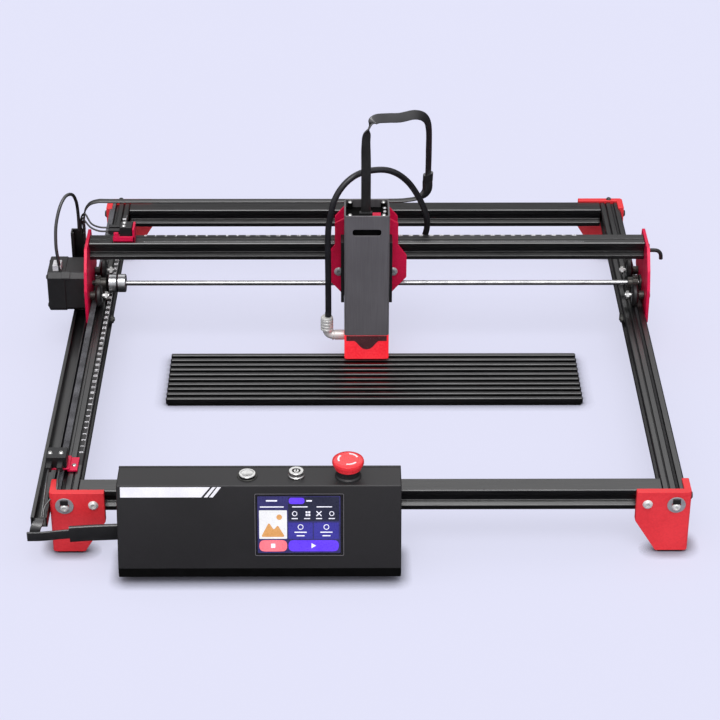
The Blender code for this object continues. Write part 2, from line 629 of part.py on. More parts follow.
# Carriage: two plates on four axles, drive motor, hose inlet and head mount
plate_top = X_BEAM_TOP + CARRIAGE_RISE
plate_low = X_BEAM_BOTTOM - CARRIAGE_DROP
shoulder = TOP_WHEEL_X + CARRIAGE_SHOULDER
half_plate = LOW_WHEEL_X + CARRIAGE_MARGIN
outline = [(-CARRIAGE_NECK, plate_top), (-shoulder, plate_top - CARRIAGE_EAVE),
           (-shoulder, plate_top - CARRIAGE_WAIST), (-half_plate, plate_top - CARRIAGE_SPREAD),
           (-half_plate, plate_low + CARRIAGE_CORNER), (-CARRIAGE_FOOT, plate_low)]
outline += [(-x, z) for x, z in reversed(outline)]
front = prism("carriage_front_plate", "XZ", [outline], (CARRIAGE_X, CARRIAGE_FRONT, 0),
              PLATE_THICK, "crimson", carriage)
hole = circle(0, X_PULLEY_Z, SHAFT_RADIUS + X_SHAFT_PLAY)
rear = prism("carriage_rear_plate", "XZ", [outline, hole], (CARRIAGE_X, CARRIAGE_REAR, 0),
             PLATE_THICK, "crimson", carriage)
for spot, dx, z in (("left_top_wheel", -TOP_WHEEL_X, X_BEAM_TOP + AXLE_RISE),
                    ("right_top_wheel", TOP_WHEEL_X, X_BEAM_TOP + AXLE_RISE),
                    ("left_low_wheel", -LOW_WHEEL_X, X_BEAM_BOTTOM - AXLE_RISE),
                    ("right_low_wheel", LOW_WHEEL_X, X_BEAM_BOTTOM - AXLE_RISE)):
    place = (CARRIAGE_X + dx, GANTRY_Y, z)
    wheel("carriage_" + spot, "Y", place, carriage)
    join(front, axle("axle_" + spot, "Y", CARRIAGE_FRONT - GANTRY_Y, -half_wheel,
                     CARRIAGE_REAR - GANTRY_Y - PLATE_THICK / 2 - FIT, half_wheel, place, carriage))

x_face = CARRIAGE_REAR + PLATE_THICK / 2 + FIT
motor("x_motor", "Y", (CARRIAGE_X, x_face, X_PULLEY_Z),
      (CARRIAGE_X - half_motor, x_face, X_PULLEY_Z - half_motor),
      (CARRIAGE_X + half_motor, x_face + X_MOTOR_LENGTH, X_PULLEY_Z + half_motor), carriage)
shaft_end = x_face + MOTOR_BORE - FIT - X_BELT_Y
turned("x_pulley", "Y",
       [(0, shaft_end), (SHAFT_RADIUS, shaft_end), (SHAFT_RADIUS, half_belt), (X_PULLEY_RADIUS, half_belt),
        (X_PULLEY_RADIUS, -half_belt), (0, -half_belt)],
       (CARRIAGE_X, X_BELT_Y, X_PULLEY_Z), "aluminium", carriage)

inlet_y = CARRIAGE_REAR + PLATE_THICK / 2 + INLET_BEHIND
inlet_left = CARRIAGE_X + half_motor + INLET_GAP
block_right = inlet_left + INLET_BLOCK
inlet_right = block_right + INLET_COLLET
join(rear, box("inlet_block", (inlet_left, CARRIAGE_REAR, INLET_Z - INLET_SIZE / 2),
               (block_right, inlet_y, INLET_Z + INLET_SIZE / 2), None, carriage),
     rod("inlet_collet", "X", COLLET_RADIUS, inlet_left - COLLET_START, inlet_right,
         (0, inlet_y, INLET_Z), None, carriage))

arm_in = HEAD_WIDTH / 2 + FIT
arm_out = arm_in + MOUNT_WALL
arm_front = MOUNT_BACK - MOUNT_WALL - MOUNT_ARM
yoke_floor = MOUNT_BACK - MOUNT_WALL
yoke = [(-arm_out, MOUNT_BACK), (-arm_out, arm_front), (-arm_in, arm_front), (-arm_in, yoke_floor),
        (arm_in, yoke_floor), (arm_in, arm_front), (arm_out, arm_front), (arm_out, MOUNT_BACK)]
prism("head_mount", "XY", [yoke], (CARRIAGE_X, 0, MOUNT_LOW + MOUNT_HEIGHT / 2), MOUNT_HEIGHT,
      "black_plastic", carriage)

# Laser head: sleeve with a recessed deck, cooled laser module, fan, shield and air elbow
half_w = HEAD_WIDTH / 2
half_d = HEAD_DEPTH / 2
room_w = half_w - HEAD_WALL
room_d = half_d - HEAD_WALL
housing = prism("head_housing", "XY", [rectangle(-half_w, -half_d, half_w, half_d)],
                (CARRIAGE_X, HEAD_Y, (HEAD_LOW + HEAD_TOP) / 2), HEAD_HEIGHT, "gunmetal", head)
vent_top = DECK_LOW - VENT_DOWN
cut(housing,
    box("head_room", (CARRIAGE_X - room_w, HEAD_Y - room_d, HEAD_LOW - CUT_PAST),
        (CARRIAGE_X + room_w, HEAD_Y + room_d, DECK_LOW), None, head),
    box("head_recess", (CARRIAGE_X - room_w, HEAD_Y - room_d, DECK_TOP),
        (CARRIAGE_X + room_w, HEAD_Y + room_d, HEAD_TOP + CUT_PAST), None, head),
    box("head_vent", (CARRIAGE_X - VENT_WIDTH / 2, HEAD_Y - half_d - CUT_PAST, vent_top - VENT_HEIGHT),
        (CARRIAGE_X + VENT_WIDTH / 2, HEAD_Y, vent_top), None, head))

fin_w = room_w - FIT
fin_d = room_d - FIT
fin_pitch = 2 * fin_w / (2 * FIN_COUNT - 1)
fin_steps = [BARREL_RADIUS + FIN_WEB + FIN_STAGGER * i for i in range(FIN_COUNT - 1)]
comb = [(-fin_w, -fin_d)]
for i, web in enumerate(fin_steps):
    left = -fin_w + (2 * i + 1) * fin_pitch
    comb += [(left, -fin_d), (left, -web), (left + fin_pitch, -web), (left + fin_pitch, -fin_d)]
comb += [(fin_w, -fin_d), (fin_w, fin_d)]
for i, web in enumerate(fin_steps):
    right = fin_w - (2 * i + 1) * fin_pitch
    comb += [(right, fin_d), (right, web), (right - fin_pitch, web), (right - fin_pitch, fin_d)]
comb += [(-fin_w, fin_d)]
laser = prism("laser_module", "XY", [comb], (CARRIAGE_X, HEAD_Y, (FIN_LOW + FIN_TOP) / 2),
              FIN_TOP - FIN_LOW, "aluminium", head)
pin_root = FIN_TOP - FAN_PIN_ROOT
barrel_low = HEAD_LOW - BARREL_BELOW
join(laser, turned("laser_barrel", "Z",
                   [(0, PIN_TOP), (FAN_PIN, PIN_TOP), (FAN_PIN, pin_root), (BARREL_RADIUS, pin_root),
                    (BARREL_RADIUS, barrel_low), (0, barrel_low)], (CARRIAGE_X, HEAD_Y, 0), None, head, 18))

fan_radius = min(room_w, room_d) - FAN_GAP
bore = FAN_PIN + FIT
fan = turned("fan_rotor", "Z", [(bore, FAN_TOP), (FAN_HUB, FAN_TOP), (FAN_HUB, FAN_LOW), (bore, FAN_LOW)],
             (CARRIAGE_X, HEAD_Y, 0), "black_plastic", head, ring=True)
blade_from = FAN_HUB - BLADE_ROOT
blade_mid = (blade_from + fan_radius) / 2
half_blade = Vector((fan_radius - blade_from, BLADE_CHORD, BLADE_THICK)) / 2
for i in range(FAN_BLADES):
    angle = 2 * pi * i / FAN_BLADES
    out = Vector((cos(angle), sin(angle), 0)) * blade_mid
    spot = Vector((CARRIAGE_X, HEAD_Y, (FAN_LOW + FAN_TOP) / 2)) + out
    join(fan, box("blade_" + str(i), spot - half_blade, spot + half_blade, None, head,
                  turn=(BLADE_PITCH, 0, angle)))

prism("laser_shield", "XY", [rectangle(-half_w, -half_d, half_w, half_d),
                             rectangle(-room_w, -room_d, room_w, room_d)],
      (CARRIAGE_X, HEAD_Y, HEAD_LOW - FIT - SHIELD_HEIGHT / 2), SHIELD_HEIGHT, "red_acrylic", head)

collet_x = CARRIAGE_X - half_w - ELBOW_OUT
elbow = rod("air_elbow", "Z", COLLET_RADIUS, ELBOW_Z - ELBOW_RADIUS - ELBOW_SKIRT, COLLET_TOP,
            (collet_x, HEAD_Y, 0), "aluminium", head)
join(elbow, rod("elbow_arm", "X", ELBOW_RADIUS, collet_x, CARRIAGE_X - half_w - FIT, (0, HEAD_Y, ELBOW_Z),
                None, head))

# Console hung on the front beam
shell_back = CONSOLE_BACK - CONSOLE_WALL - FIT
outer = [(shell_back, CONSOLE_LOW), (shell_back, CONSOLE_TOP), (PANEL_TOP_Y, CONSOLE_TOP),
         (PANEL_LOW_Y, PANEL_LOW_Z), (PANEL_LOW_Y, CONSOLE_LOW)]
room_low = CONSOLE_LOW + CONSOLE_WALL
room_top = CONSOLE_TOP - CONSOLE_WALL
room_back = shell_back + CUT_PAST
room_front = PANEL_LOW_Y + CONSOLE_WALL
lean_top = PANEL_TOP_Y + CONSOLE_WALL / cos(PANEL_LEAN) - CONSOLE_WALL * tan(PANEL_LEAN)
lean_low = PANEL_LOW_Z + CONSOLE_WALL * (1 - sin(PANEL_LEAN)) / cos(PANEL_LEAN)
inner = [(room_back, room_low), (room_back, room_top), (lean_top, room_top), (room_front, lean_low),
         (room_front, room_low)]
console_x = (CONSOLE_LEFT + CONSOLE_RIGHT) / 2
shell = prism("console_shell", "YZ", [outer], (console_x, 0, 0), CONSOLE_WIDTH, "black_plastic")
cut(shell, prism("console_room", "YZ", [inner], (console_x, 0, 0), CONSOLE_WIDTH - 2 * CONSOLE_WALL, None))
box("console_back", (CONSOLE_LEFT, CONSOLE_BACK - CONSOLE_WALL, CONSOLE_LOW),
    (CONSOLE_RIGHT, CONSOLE_BACK, CONSOLE_TOP), "black_plastic")

down = SCREEN_ABOVE + SCREEN_HEIGHT / 2
deep = SCREEN_THICK / 2 - SCREEN_STAND
screen_at = Vector((SCREEN_X, PANEL_TOP_Y - down * sin(PANEL_LEAN) + deep * cos(PANEL_LEAN),
                    CONSOLE_TOP - down * cos(PANEL_LEAN) - deep * sin(PANEL_LEAN)))
tilt = (-PANEL_LEAN, 0, 0)
half_screen = Vector((SCREEN_WIDTH, SCREEN_THICK, SCREEN_HEIGHT)) / 2
box("touch_screen", screen_at - half_screen, screen_at + half_screen, "glass", bevel=SCREEN_EDGE, turn=tilt)
half_cut = half_screen + Vector((FIT, CUT_PAST, FIT))
cut(shell, box("screen_opening", screen_at - half_cut, screen_at + half_cut, None, turn=tilt))

stem_low = CONSOLE_TOP - BUTTON_REACH
power_cap = CONSOLE_TOP + POWER_TRAVEL + FIT
power_top = power_cap + POWER_HEIGHT
turned("power_button", "Z", [(0, power_top), (POWER_RADIUS - BUTTON_EDGE, power_top),
                             (POWER_RADIUS, power_top - BUTTON_EDGE), (POWER_RADIUS, power_cap),
                             (POWER_STEM, power_cap), (POWER_STEM, stem_low), (0, stem_low)],
       (POWER_X, BUTTON_Y, 0), "steel")
key_low = CONSOLE_TOP + FIT
key_top = key_low + KEY_HEIGHT
key = turned("key_switch", "Z", [(0, key_top), (KEY_RADIUS - BUTTON_EDGE, key_top),
                                 (KEY_RADIUS, key_top - BUTTON_EDGE), (KEY_RADIUS, key_low),
                                 (KEY_STEM, key_low), (KEY_STEM, stem_low), (0, stem_low)],
             (KEY_X, BUTTON_Y, 0), "steel")
key_slot = Vector((KEY_SLOT_WIDTH / 2, KEY_SLOT_LENGTH / 2, KEY_SLOT_DEPTH))
key_mouth = Vector((KEY_X, BUTTON_Y, key_top))
cut(key, box("key_slot", key_mouth - key_slot, key_mouth + key_slot, None))
collar_top = CONSOLE_TOP + COLLAR_HEIGHT
cap_low = collar_top + ESTOP_TRAVEL + FIT
cap_top = cap_low + ESTOP_HEIGHT
turned("estop_button", "Z", [(0, cap_top), (ESTOP_RADIUS - ESTOP_CROWN, cap_top - BUTTON_EDGE),
                             (ESTOP_RADIUS - COLLAR_EDGE, cap_top - ESTOP_ROUND),
                             (ESTOP_RADIUS, cap_low + ESTOP_ROUND), (ESTOP_RADIUS - COLLAR_EDGE, cap_low),
                             (ESTOP_STEM, cap_low), (ESTOP_STEM, stem_low), (0, stem_low)],
       (ESTOP_X, BUTTON_Y, 0), "red_plastic", steps=24)
collar_low = CONSOLE_TOP - CONSOLE_WALL / 2
collar_bore = ESTOP_STEM + FIT
collar = [(collar_bore, collar_top), (COLLAR_RADIUS - COLLAR_EDGE, collar_top),
          (COLLAR_RADIUS, collar_top - COLLAR_EDGE), (COLLAR_RADIUS, collar_low), (collar_bore, collar_low)]
join(shell, turned("estop_collar", "Z", collar, (ESTOP_X, BUTTON_Y, 0), None, steps=24, ring=True))
for name, x, radius in (("power", POWER_X, POWER_STEM), ("key", KEY_X, KEY_STEM),
                        ("estop", ESTOP_X, ESTOP_STEM)):
    cut(shell, rod(name + "_hole", "Z", radius + FIT, room_top - CUT_PAST, collar_top + CUT_PAST,
                   (x, BUTTON_Y, 0), None))


# Cable carrier: an open channel that runs beside the left rail and turns up behind the motor
def channel_side(offset):
    turn_y = CARRIER_END_Y - CARRIER_BEND
    turn_z = CARRIER_Z + CARRIER_BEND
    radius = CARRIER_BEND - offset
    arc = [radians(15 * i - 90) for i in range(7)]
    bend = [(turn_y + radius * cos(a), turn_z + radius * sin(a)) for a in arc]
    return [(CARRIER_FRONT, CARRIER_Z + offset)] + bend + [(CARRIER_END_Y - offset, CARRIER_TOP)]


def strip(below, above, past):
    path = channel_side(below) + channel_side(above)[::-1]
    return [(y - past if y == CARRIER_FRONT else y, z + past if z == CARRIER_TOP else z) for y, z in path]


half_channel = CARRIER_HEIGHT / 2
carrier = prism("cable_carrier", "YZ", [strip(-half_channel, half_channel, 0)], (CARRIER_X, 0, 0),
                CARRIER_WIDTH, "black_plastic")
channel = strip(CARRIER_WALL - half_channel, half_channel + CUT_PAST, CUT_PAST)
cut(carrier, prism("carrier_channel", "YZ", [channel], (CARRIER_X, 0, 0),
                   CARRIER_WIDTH - 2 * CARRIER_WALL, None))

# Limit switch at the front of the left rail, on a folded bracket that bridges the belt
foot_top = RAIL_TOP + FIT + SHEET
shelf_low = BELT_TOP + FIT
shelf_top = shelf_low + SHEET
foot_in = -(RAIL_IN + SHELF_INSET)
foot_out = BELT_WIDTH / 2 + SHELF_GAP - BELT_X
shelf_out = foot_out - SHELF_REACH
shelf_front = -(FRAME_DEPTH / 2 - BRACKET_FLANGE) + SWITCH_SETBACK
bridge = [(foot_in, RAIL_TOP + FIT), (foot_in, foot_top), (foot_out + SHEET, foot_top),
          (foot_out + SHEET, shelf_top), (shelf_out, shelf_top), (shelf_out, shelf_low),
          (foot_out, shelf_low), (foot_out, RAIL_TOP + FIT)]
prism("y_switch_bracket", "XZ", [bridge], (0, shelf_front + SHELF_LENGTH / 2, 0), SHELF_LENGTH, "red_enamel")
switch_left = shelf_out + SHELF_MARGIN
switch_front = shelf_front - SWITCH_OVERHANG
box("y_limit_switch", (switch_left, switch_front, shelf_top + FIT),
    (switch_left + Y_SWITCH_WIDTH, switch_front + Y_SWITCH_LENGTH, shelf_top + FIT + Y_SWITCH_HEIGHT),
    "black_plastic", bevel=SWITCH_EDGE)

# Ridged work support on the table
ridge = [(SLAT_FRONT, 0)]
for i in range(SLAT_COUNT):
    start = SLAT_FRONT + i * SLAT_PITCH
    crest = start + (SLAT_PITCH - SLAT_CREST) / 2
    ridge += [(start, SLAT_BASE), (crest, SLAT_HEIGHT), (crest + SLAT_CREST, SLAT_HEIGHT)]
slat_end = SLAT_FRONT + SLAT_COUNT * SLAT_PITCH
ridge += [(slat_end, SLAT_BASE), (slat_end, 0)]
prism("work_slats", "YZ", [ridge[::-1]], (SLAT_X, 0, 0), SLAT_LENGTH, "anodised")


# Cables and hose: smooth tubes through points chosen along their routes
def smooth(points, step):
    route = [Vector(p) for p in points]
    ends = [2 * route[0] - route[1]] + route + [2 * route[-1] - route[-2]]
    fine = []
    for a, b, c, d in zip(ends, ends[1:], ends[2:], ends[3:]):
        for i in range(12):
            t = i / 12
            fine.append(0.5 * (2 * b + (c - a) * t + (2 * a - 5 * b + 4 * c - d) * t ** 2
                               + (3 * b - a - 3 * c + d) * t ** 3))
    fine.append(route[-1])
    lengths = [(q - p).length for p, q in zip(fine, fine[1:])]
    count = max(4, round(sum(lengths) / step))
    spaced, walked, mark = [fine[0]], 0.0, 1
    for p, q, length in zip(fine, fine[1:], lengths):
        while mark < count and walked + length >= mark * sum(lengths) / count:
            spaced.append(p.lerp(q, (mark * sum(lengths) / count - walked) / length))
            mark += 1
        walked += length
    return spaced + [fine[-1]]


def cord(name, points, radius, parent):
    shape = bpy.data.curves.new(name, "CURVE")
    shape.dimensions = "3D"
    shape.bevel_depth = radius
    shape.bevel_resolution = 2
    shape.use_fill_caps = True
    route = smooth(points, 5 * radius)
    spline = shape.splines.new("POLY")
    spline.points.add(len(route) - 1)
    for point, spot in zip(spline.points, route):
        point.co = (*(spot - Vector(parent["place"])), 1)
    return add(name, shape, parent["place"], "rubber", parent)


cable_y = CARRIER_END_Y
cord("head_cable_run", [(-0.2800, cable_y, CARRIER_TOP + FIT), (-0.2800, cable_y, 0.121),
                        (-0.2770, cable_y, 0.134), (-0.2670, cable_y, 0.1410), (-0.2400, cable_y, 0.1414),
                        (-0.1100, cable_y, 0.1414), (0.0140, cable_y, 0.1414), (0.0410, cable_y, 0.1425),
                        (0.0530, cable_y, 0.1460), (0.0590, cable_y, 0.1530), (0.0595, 0.115, 0.1640)],
     CABLE_RADIUS, gantry)
cord("head_cable_loop", [(0.0597, 0.1146, 0.1643), (0.0599, 0.111, 0.1784), (0.0597, 0.104, 0.2025),
                         (0.0588, 0.094, 0.2303), (0.0546, 0.086, 0.2444), (0.0448, 0.076, 0.2521),
                         (0.0305, 0.066, 0.2537), (0.0192, 0.060, 0.2560), (0.0071, 0.052, 0.2582),
                         (0.0015, 0.046, 0.2529), (-0.0016, 0.043, 0.2421), (-0.0016, 0.042, 0.2118),
                         (-0.0016, 0.042, DECK_TOP + FIT)], CABLE_RADIUS, carriage)
cord("air_hose", [(collet_x, HEAD_Y, COLLET_TOP + FIT), (collet_x, HEAD_Y, 0.095), (collet_x, HEAD_Y, 0.138),
                  (-0.0362, 0.044, 0.1568), (-0.0309, 0.046, 0.1785), (-0.0206, 0.052, 0.1923),
                  (-0.0065, 0.060, 0.1988), (0.0125, 0.070, 0.1975), (0.0268, 0.078, 0.1904),
                  (0.0396, 0.086, 0.1764), (0.0497, 0.094, 0.1574), (0.0569, 0.100, 0.1382),
                  (0.0595, 0.104, 0.1220), (0.0575, inlet_y, 0.1085), (0.0520, inlet_y, 0.0980),
                  (0.0470, inlet_y, 0.0915), (inlet_right + 0.006, inlet_y, INLET_Z),
                  (inlet_right + 3 * FIT, inlet_y, INLET_Z)], HOSE_RADIUS, carriage)
lead_z = AXLE_Z + half_motor
cord("motor_lead", [(-0.3005, 0.066, lead_z + FIT), (-0.3015, 0.067, 0.102), (-0.3030, 0.070, 0.116),
                    (-0.3025, 0.077, 0.1345), (-0.2988, 0.086, 0.1497), (-0.2937, 0.095, 0.1570),
                    (-0.2885, 0.104, 0.1545), (-0.2860, 0.111, 0.1440), (-0.2855, cable_y, 0.1290),
                    (-0.2855, cable_y, CARRIER_TOP + FIT)], LEAD_RADIUS, gantry)
cord("console_lead", [(CARRIER_X, CARRIER_FRONT - FIT, 0.0440), (-0.2845, -0.3005, 0.0430),
                      (-0.2878, -0.3025, 0.0390), (-0.2895, -0.3035, 0.0345), (-0.2860, -0.3040, 0.0315),
                      (-0.2790, -0.3040, 0.0316), (-0.2612, -0.3030, 0.0335), (-0.2386, -0.3010, 0.0335),
                      (CONSOLE_LEFT - FIT, -0.3000, 0.0335)], CONSOLE_LEAD_RADIUS, base)

for piece in machine.objects:
    if piece.type == "MESH":
        piece.data.shade_smooth()
        piece.data.set_sharp_from_angle(angle=radians(30))
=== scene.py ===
import json
import math
import bmesh
import bpy
from mathutils import Matrix, Vector

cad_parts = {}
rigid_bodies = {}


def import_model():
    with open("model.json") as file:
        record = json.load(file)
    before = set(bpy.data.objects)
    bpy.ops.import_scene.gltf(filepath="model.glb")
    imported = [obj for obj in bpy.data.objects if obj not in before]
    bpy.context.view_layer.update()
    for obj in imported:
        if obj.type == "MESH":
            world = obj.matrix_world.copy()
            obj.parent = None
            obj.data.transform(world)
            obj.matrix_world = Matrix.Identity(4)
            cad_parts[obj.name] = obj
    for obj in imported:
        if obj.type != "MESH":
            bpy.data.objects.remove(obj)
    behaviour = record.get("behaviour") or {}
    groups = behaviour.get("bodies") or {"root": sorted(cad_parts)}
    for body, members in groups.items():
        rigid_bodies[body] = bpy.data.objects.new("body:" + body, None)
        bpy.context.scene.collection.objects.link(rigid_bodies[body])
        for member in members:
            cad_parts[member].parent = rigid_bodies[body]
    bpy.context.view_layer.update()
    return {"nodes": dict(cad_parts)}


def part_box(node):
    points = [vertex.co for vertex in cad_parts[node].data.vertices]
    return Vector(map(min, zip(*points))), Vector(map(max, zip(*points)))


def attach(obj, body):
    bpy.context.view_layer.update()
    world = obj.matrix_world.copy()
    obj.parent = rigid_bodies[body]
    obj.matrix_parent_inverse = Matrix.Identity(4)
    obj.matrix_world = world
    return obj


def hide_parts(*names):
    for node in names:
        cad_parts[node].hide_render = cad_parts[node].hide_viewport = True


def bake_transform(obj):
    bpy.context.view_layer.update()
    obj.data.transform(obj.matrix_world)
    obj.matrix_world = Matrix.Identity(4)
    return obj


for old in list(bpy.data.objects):
    bpy.data.objects.remove(old)
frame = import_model()
nodes = frame["nodes"]

# places below are millimetres from the middle of the frame, on the table
middle = (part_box("corner_front_left")[0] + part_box("corner_rear_right")[1]) / 2
middle.z = 0
toRow = Matrix.Translation(middle) @ Matrix.Scale(0.001, 4)


def place(x, y, z):
    return toRow @ Vector((x, y, z))


print("frame loaded:", len(nodes), "solids")


# Materials: patch and grain are the sizes in millimetres of the wide and the fine pattern
def toLinear(code):
    parts = [int(code[i:i + 2], 16) / 255 for i in (1, 3, 5)]
    return [c / 12.92 if c <= 0.04045 else ((c + 0.055) / 1.055) ** 2.4 for c in parts] + [1.0]


def addNode(tree, kind, inputs=None, **settings):
    node = tree.nodes.new("ShaderNode" + kind)
    for key, value in settings.items():
        setattr(node, key, value)
    for key, value in (inputs or {}).items():
        if isinstance(value, bpy.types.NodeSocket):
            tree.links.new(value, node.inputs[key])
        else:
            node.inputs[key].default_value = value
    return node


looks = {}


def makeLook(name, look):
    material = bpy.data.materials.new(name)
    material.use_nodes = True
    tree = material.node_tree
    shader = tree.nodes["Principled BSDF"]
    where = addNode(tree, "TexCoord").outputs["Object"]
    drawn = addNode(tree, "Mapping", {"Vector": where, "Scale": look.get("stretch", (1, 1, 1))})
    patch = addNode(tree, "TexNoise", {"Vector": where, "Scale": 1000 / look["patch"], "Detail": 2.0})
    grain = addNode(tree, "TexNoise", {"Vector": drawn.outputs[0], "Scale": 1000 / look["grain"],
                                       "Detail": 3.0})
    both = addNode(tree, "Math", {0: patch.outputs["Fac"], 1: grain.outputs["Fac"]}, operation="ADD")
    share = addNode(tree, "MapRange", {"Value": both.outputs[0], "From Min": 0.75, "From Max": 1.25})
    tone = addNode(tree, "Mix", {0: share.outputs[0], 6: toLinear(look["tones"][0]),
                                 7: toLinear(look["tones"][1])}, data_type="RGBA")
    rough = addNode(tree, "MapRange", {"Value": grain.outputs["Fac"], "From Min": 0.3, "From Max": 0.7,
                                       "To Min": look["rough"][0], "To Max": look["rough"][1]})
    bump = addNode(tree, "Bump", {"Height": grain.outputs["Fac"], "Strength": look.get("relief", 0.2),
                                  "Distance": look.get("depth", 0.02) / 1000})
    tree.links.new(tone.outputs[2], shader.inputs["Base Color"])
    tree.links.new(rough.outputs[0], shader.inputs["Roughness"])
    tree.links.new(bump.outputs[0], shader.inputs["Normal"])
    if "glow" in look:
        tree.links.new(tone.outputs[2], shader.inputs["Emission Color"])
        shader.inputs["Emission Strength"].default_value = look["glow"]
    for socket, value in look.get("set", {}).items():
        shader.inputs[socket].default_value = value
    looks[name] = material


# black anodised extrusions: dyed oxide over drawn metal, so lengthwise streaks and a satin top
anodised = {"tones": ("#070708", "#0e0e0f"), "patch": 60, "grain": 0.9, "rough": (0.26, 0.36),
            "relief": 0.12, "set": {"IOR": 1.8}}
makeLook("anodisedAcross", {**anodised, "stretch": (0.02, 1, 1)})
makeLook("anodisedAlong", {**anodised, "stretch": (1, 0.02, 1)})
# powder-coated steel: a baked skin with a faint orange peel of about 1.5 mm
makeLook("redPowderCoat", {"tones": ("#e0262e", "#ee3238"), "patch": 35, "grain": 1.5,
                           "rough": (0.38, 0.5), "relief": 0.25, "depth": 0.03, "set": {"IOR": 1.5}})
# crimson anodised plate: dyed oxide that keeps some metal sheen
makeLook("crimsonAnodised", {"tones": ("#d4003c", "#ec0a4c"), "patch": 30, "grain": 1.2,
                             "rough": (0.34, 0.46), "relief": 0.12, "set": {"Metallic": 0.15}})
# moulded rubber of the feet: matt, with a dusty bloom
makeLook("footRubber", {"tones": ("#101010", "#1b1b1b"), "patch": 12, "grain": 1.0,
                        "rough": (0.75, 0.9), "relief": 0.3, "depth": 0.05, "set": {"IOR": 1.52}})
# glass-fibre belt rubber, grey all over: a painted sheen for the light its teeth catch
makeLook("beltRubber", {"tones": ("#37373a", "#68686c"), "patch": 18, "grain": 1.2,
                        "rough": (0.5, 0.7), "relief": 0.3, "set": {"IOR": 1.52}})
# glass-filled nylon of the carrier: moulded satin, so level faces catch a broad sheen
makeLook("satinNylon", {"tones": ("#0c0c0d", "#161617"), "patch": 18, "grain": 0.9,
                        "rough": (0.28, 0.4), "relief": 0.15, "set": {"IOR": 1.75}})
# black ABS of switches and plugs: fine spark-eroded grain
makeLook("blackPlastic", {"tones": ("#131314", "#202022"), "patch": 25, "grain": 0.8,
                          "rough": (0.42, 0.58), "relief": 0.3, "depth": 0.03, "set": {"IOR": 1.53}})
# painted console steel: fine-texture coat, drawn as coarse as it needs to show
makeLook("consolePaint", {"tones": ("#201f20", "#272627"), "patch": 90, "grain": 1.1,
                          "rough": (0.42, 0.52), "relief": 0.35, "depth": 0.03, "set": {"IOR": 1.5}})
# motor castings: matt black lacquer on aluminium
makeLook("motorLacquer", {"tones": ("#1b1b1c", "#262627"), "patch": 20, "grain": 0.9,
                          "rough": (0.4, 0.55), "relief": 0.3, "set": {"IOR": 1.5}})
# polished acetal of the wheels: dark, with a waxy sheen
makeLook("wheelAcetal", {"tones": ("#151516", "#232324"), "patch": 10, "grain": 0.7,
                         "rough": (0.35, 0.48), "relief": 0.15, "set": {"IOR": 1.48}})
# turned steel: fine marks of the tool, drawn coarser than real so that they show
makeLook("turnedSteel", {"tones": ("#a2a2a4", "#c4c4c5"), "patch": 14, "grain": 0.6, "stretch": (0.06, 1, 1),
                         "rough": (0.2, 0.32), "relief": 0.1, "set": {"Metallic": 1.0}})
# nickel-plated brass and zinc-plated screws: bright, a little milky
makeLook("platedMetal", {"tones": ("#c4c4c2", "#e6e6e4"), "patch": 6, "grain": 0.7,
                         "rough": (0.22, 0.36), "relief": 0.12, "set": {"Metallic": 1.0}})
# satin nickel of the air fitting: bead-blasted before plating, so it scatters nearly all around
makeLook("satinNickel", {"tones": ("#cfcfcb", "#e6e6e2"), "patch": 6, "grain": 0.7,
                         "rough": (0.3, 0.42), "relief": 0.15, "set": {"Metallic": 0.25}})
# zinc plate of washers and bolts: dull grey with a soft sheen
makeLook("zincPlate", {"tones": ("#98989a", "#b2b2b4"), "patch": 5, "grain": 0.7,
                       "rough": (0.32, 0.45), "relief": 0.15, "set": {"Metallic": 0.3}})
# bare milled aluminium of pulleys, coupling and heat sink: cutter marks that spread the shine
makeLook("milledAluminium", {"tones": ("#a9abad", "#cfd1d3"), "patch": 9, "grain": 0.5,
                             "stretch": (1, 1, 0.1), "rough": (0.28, 0.42), "relief": 0.18,
                             "set": {"Metallic": 1.0}})
# blackened screws: burnished oxide, dark grey with paler rubs
makeLook("blackOxide", {"tones": ("#3c3c3a", "#5c5c58"), "patch": 5, "grain": 0.6,
                        "rough": (0.35, 0.5), "relief": 0.15, "set": {"Metallic": 0.7}})
# gunmetal anodised sleeve of the head: brushed lengthwise, then dyed
makeLook("gunmetal", {"tones": ("#676567", "#737173"), "patch": 45, "grain": 0.8, "stretch": (1, 1, 0.03),
                      "rough": (0.36, 0.46), "relief": 0.14, "set": {"Metallic": 0.3}})
# red acrylic: cast sheet that passes some light, and a painted glow of its own
makeLook("redAcrylic", {"tones": ("#f02c3c", "#fb4450"), "patch": 25, "grain": 2.0,
                        "rough": (0.1, 0.18), "relief": 0.05, "glow": 0.3,
                        "set": {"IOR": 1.49, "Transmission Weight": 0.35}})
# the same sheet, smoked: a dim red band
makeLook("smokedAcrylic", {"tones": ("#4a2a2e", "#5a3336"), "patch": 20, "grain": 1.5,
                           "rough": (0.18, 0.28), "relief": 0.05, "set": {"IOR": 1.49}})
# moulded ABS of the stop button: glossy, with a clear highlight
makeLook("redAbs", {"tones": ("#e8232b", "#f4333a"), "patch": 12, "grain": 1.0,
                    "rough": (0.25, 0.34), "relief": 0.1, "set": {"IOR": 1.53, "Coat Weight": 0.3}})
# screen-printed white ink: flat and even
makeLook("whiteInk", {"tones": ("#e9e8ea", "#f8f7f9"), "patch": 15, "grain": 0.8,
                      "rough": (0.45, 0.6), "relief": 0.1, "set": {"IOR": 1.5}})
# pale nylon of plug and lamps, in the shade of worn ruler ink: greyer and patchy
makeLook("ruleInk", {"tones": ("#b4b4b6", "#e8e8ea"), "patch": 6, "grain": 0.7,
                     "rough": (0.5, 0.65), "relief": 0.1, "set": {"IOR": 1.5}})
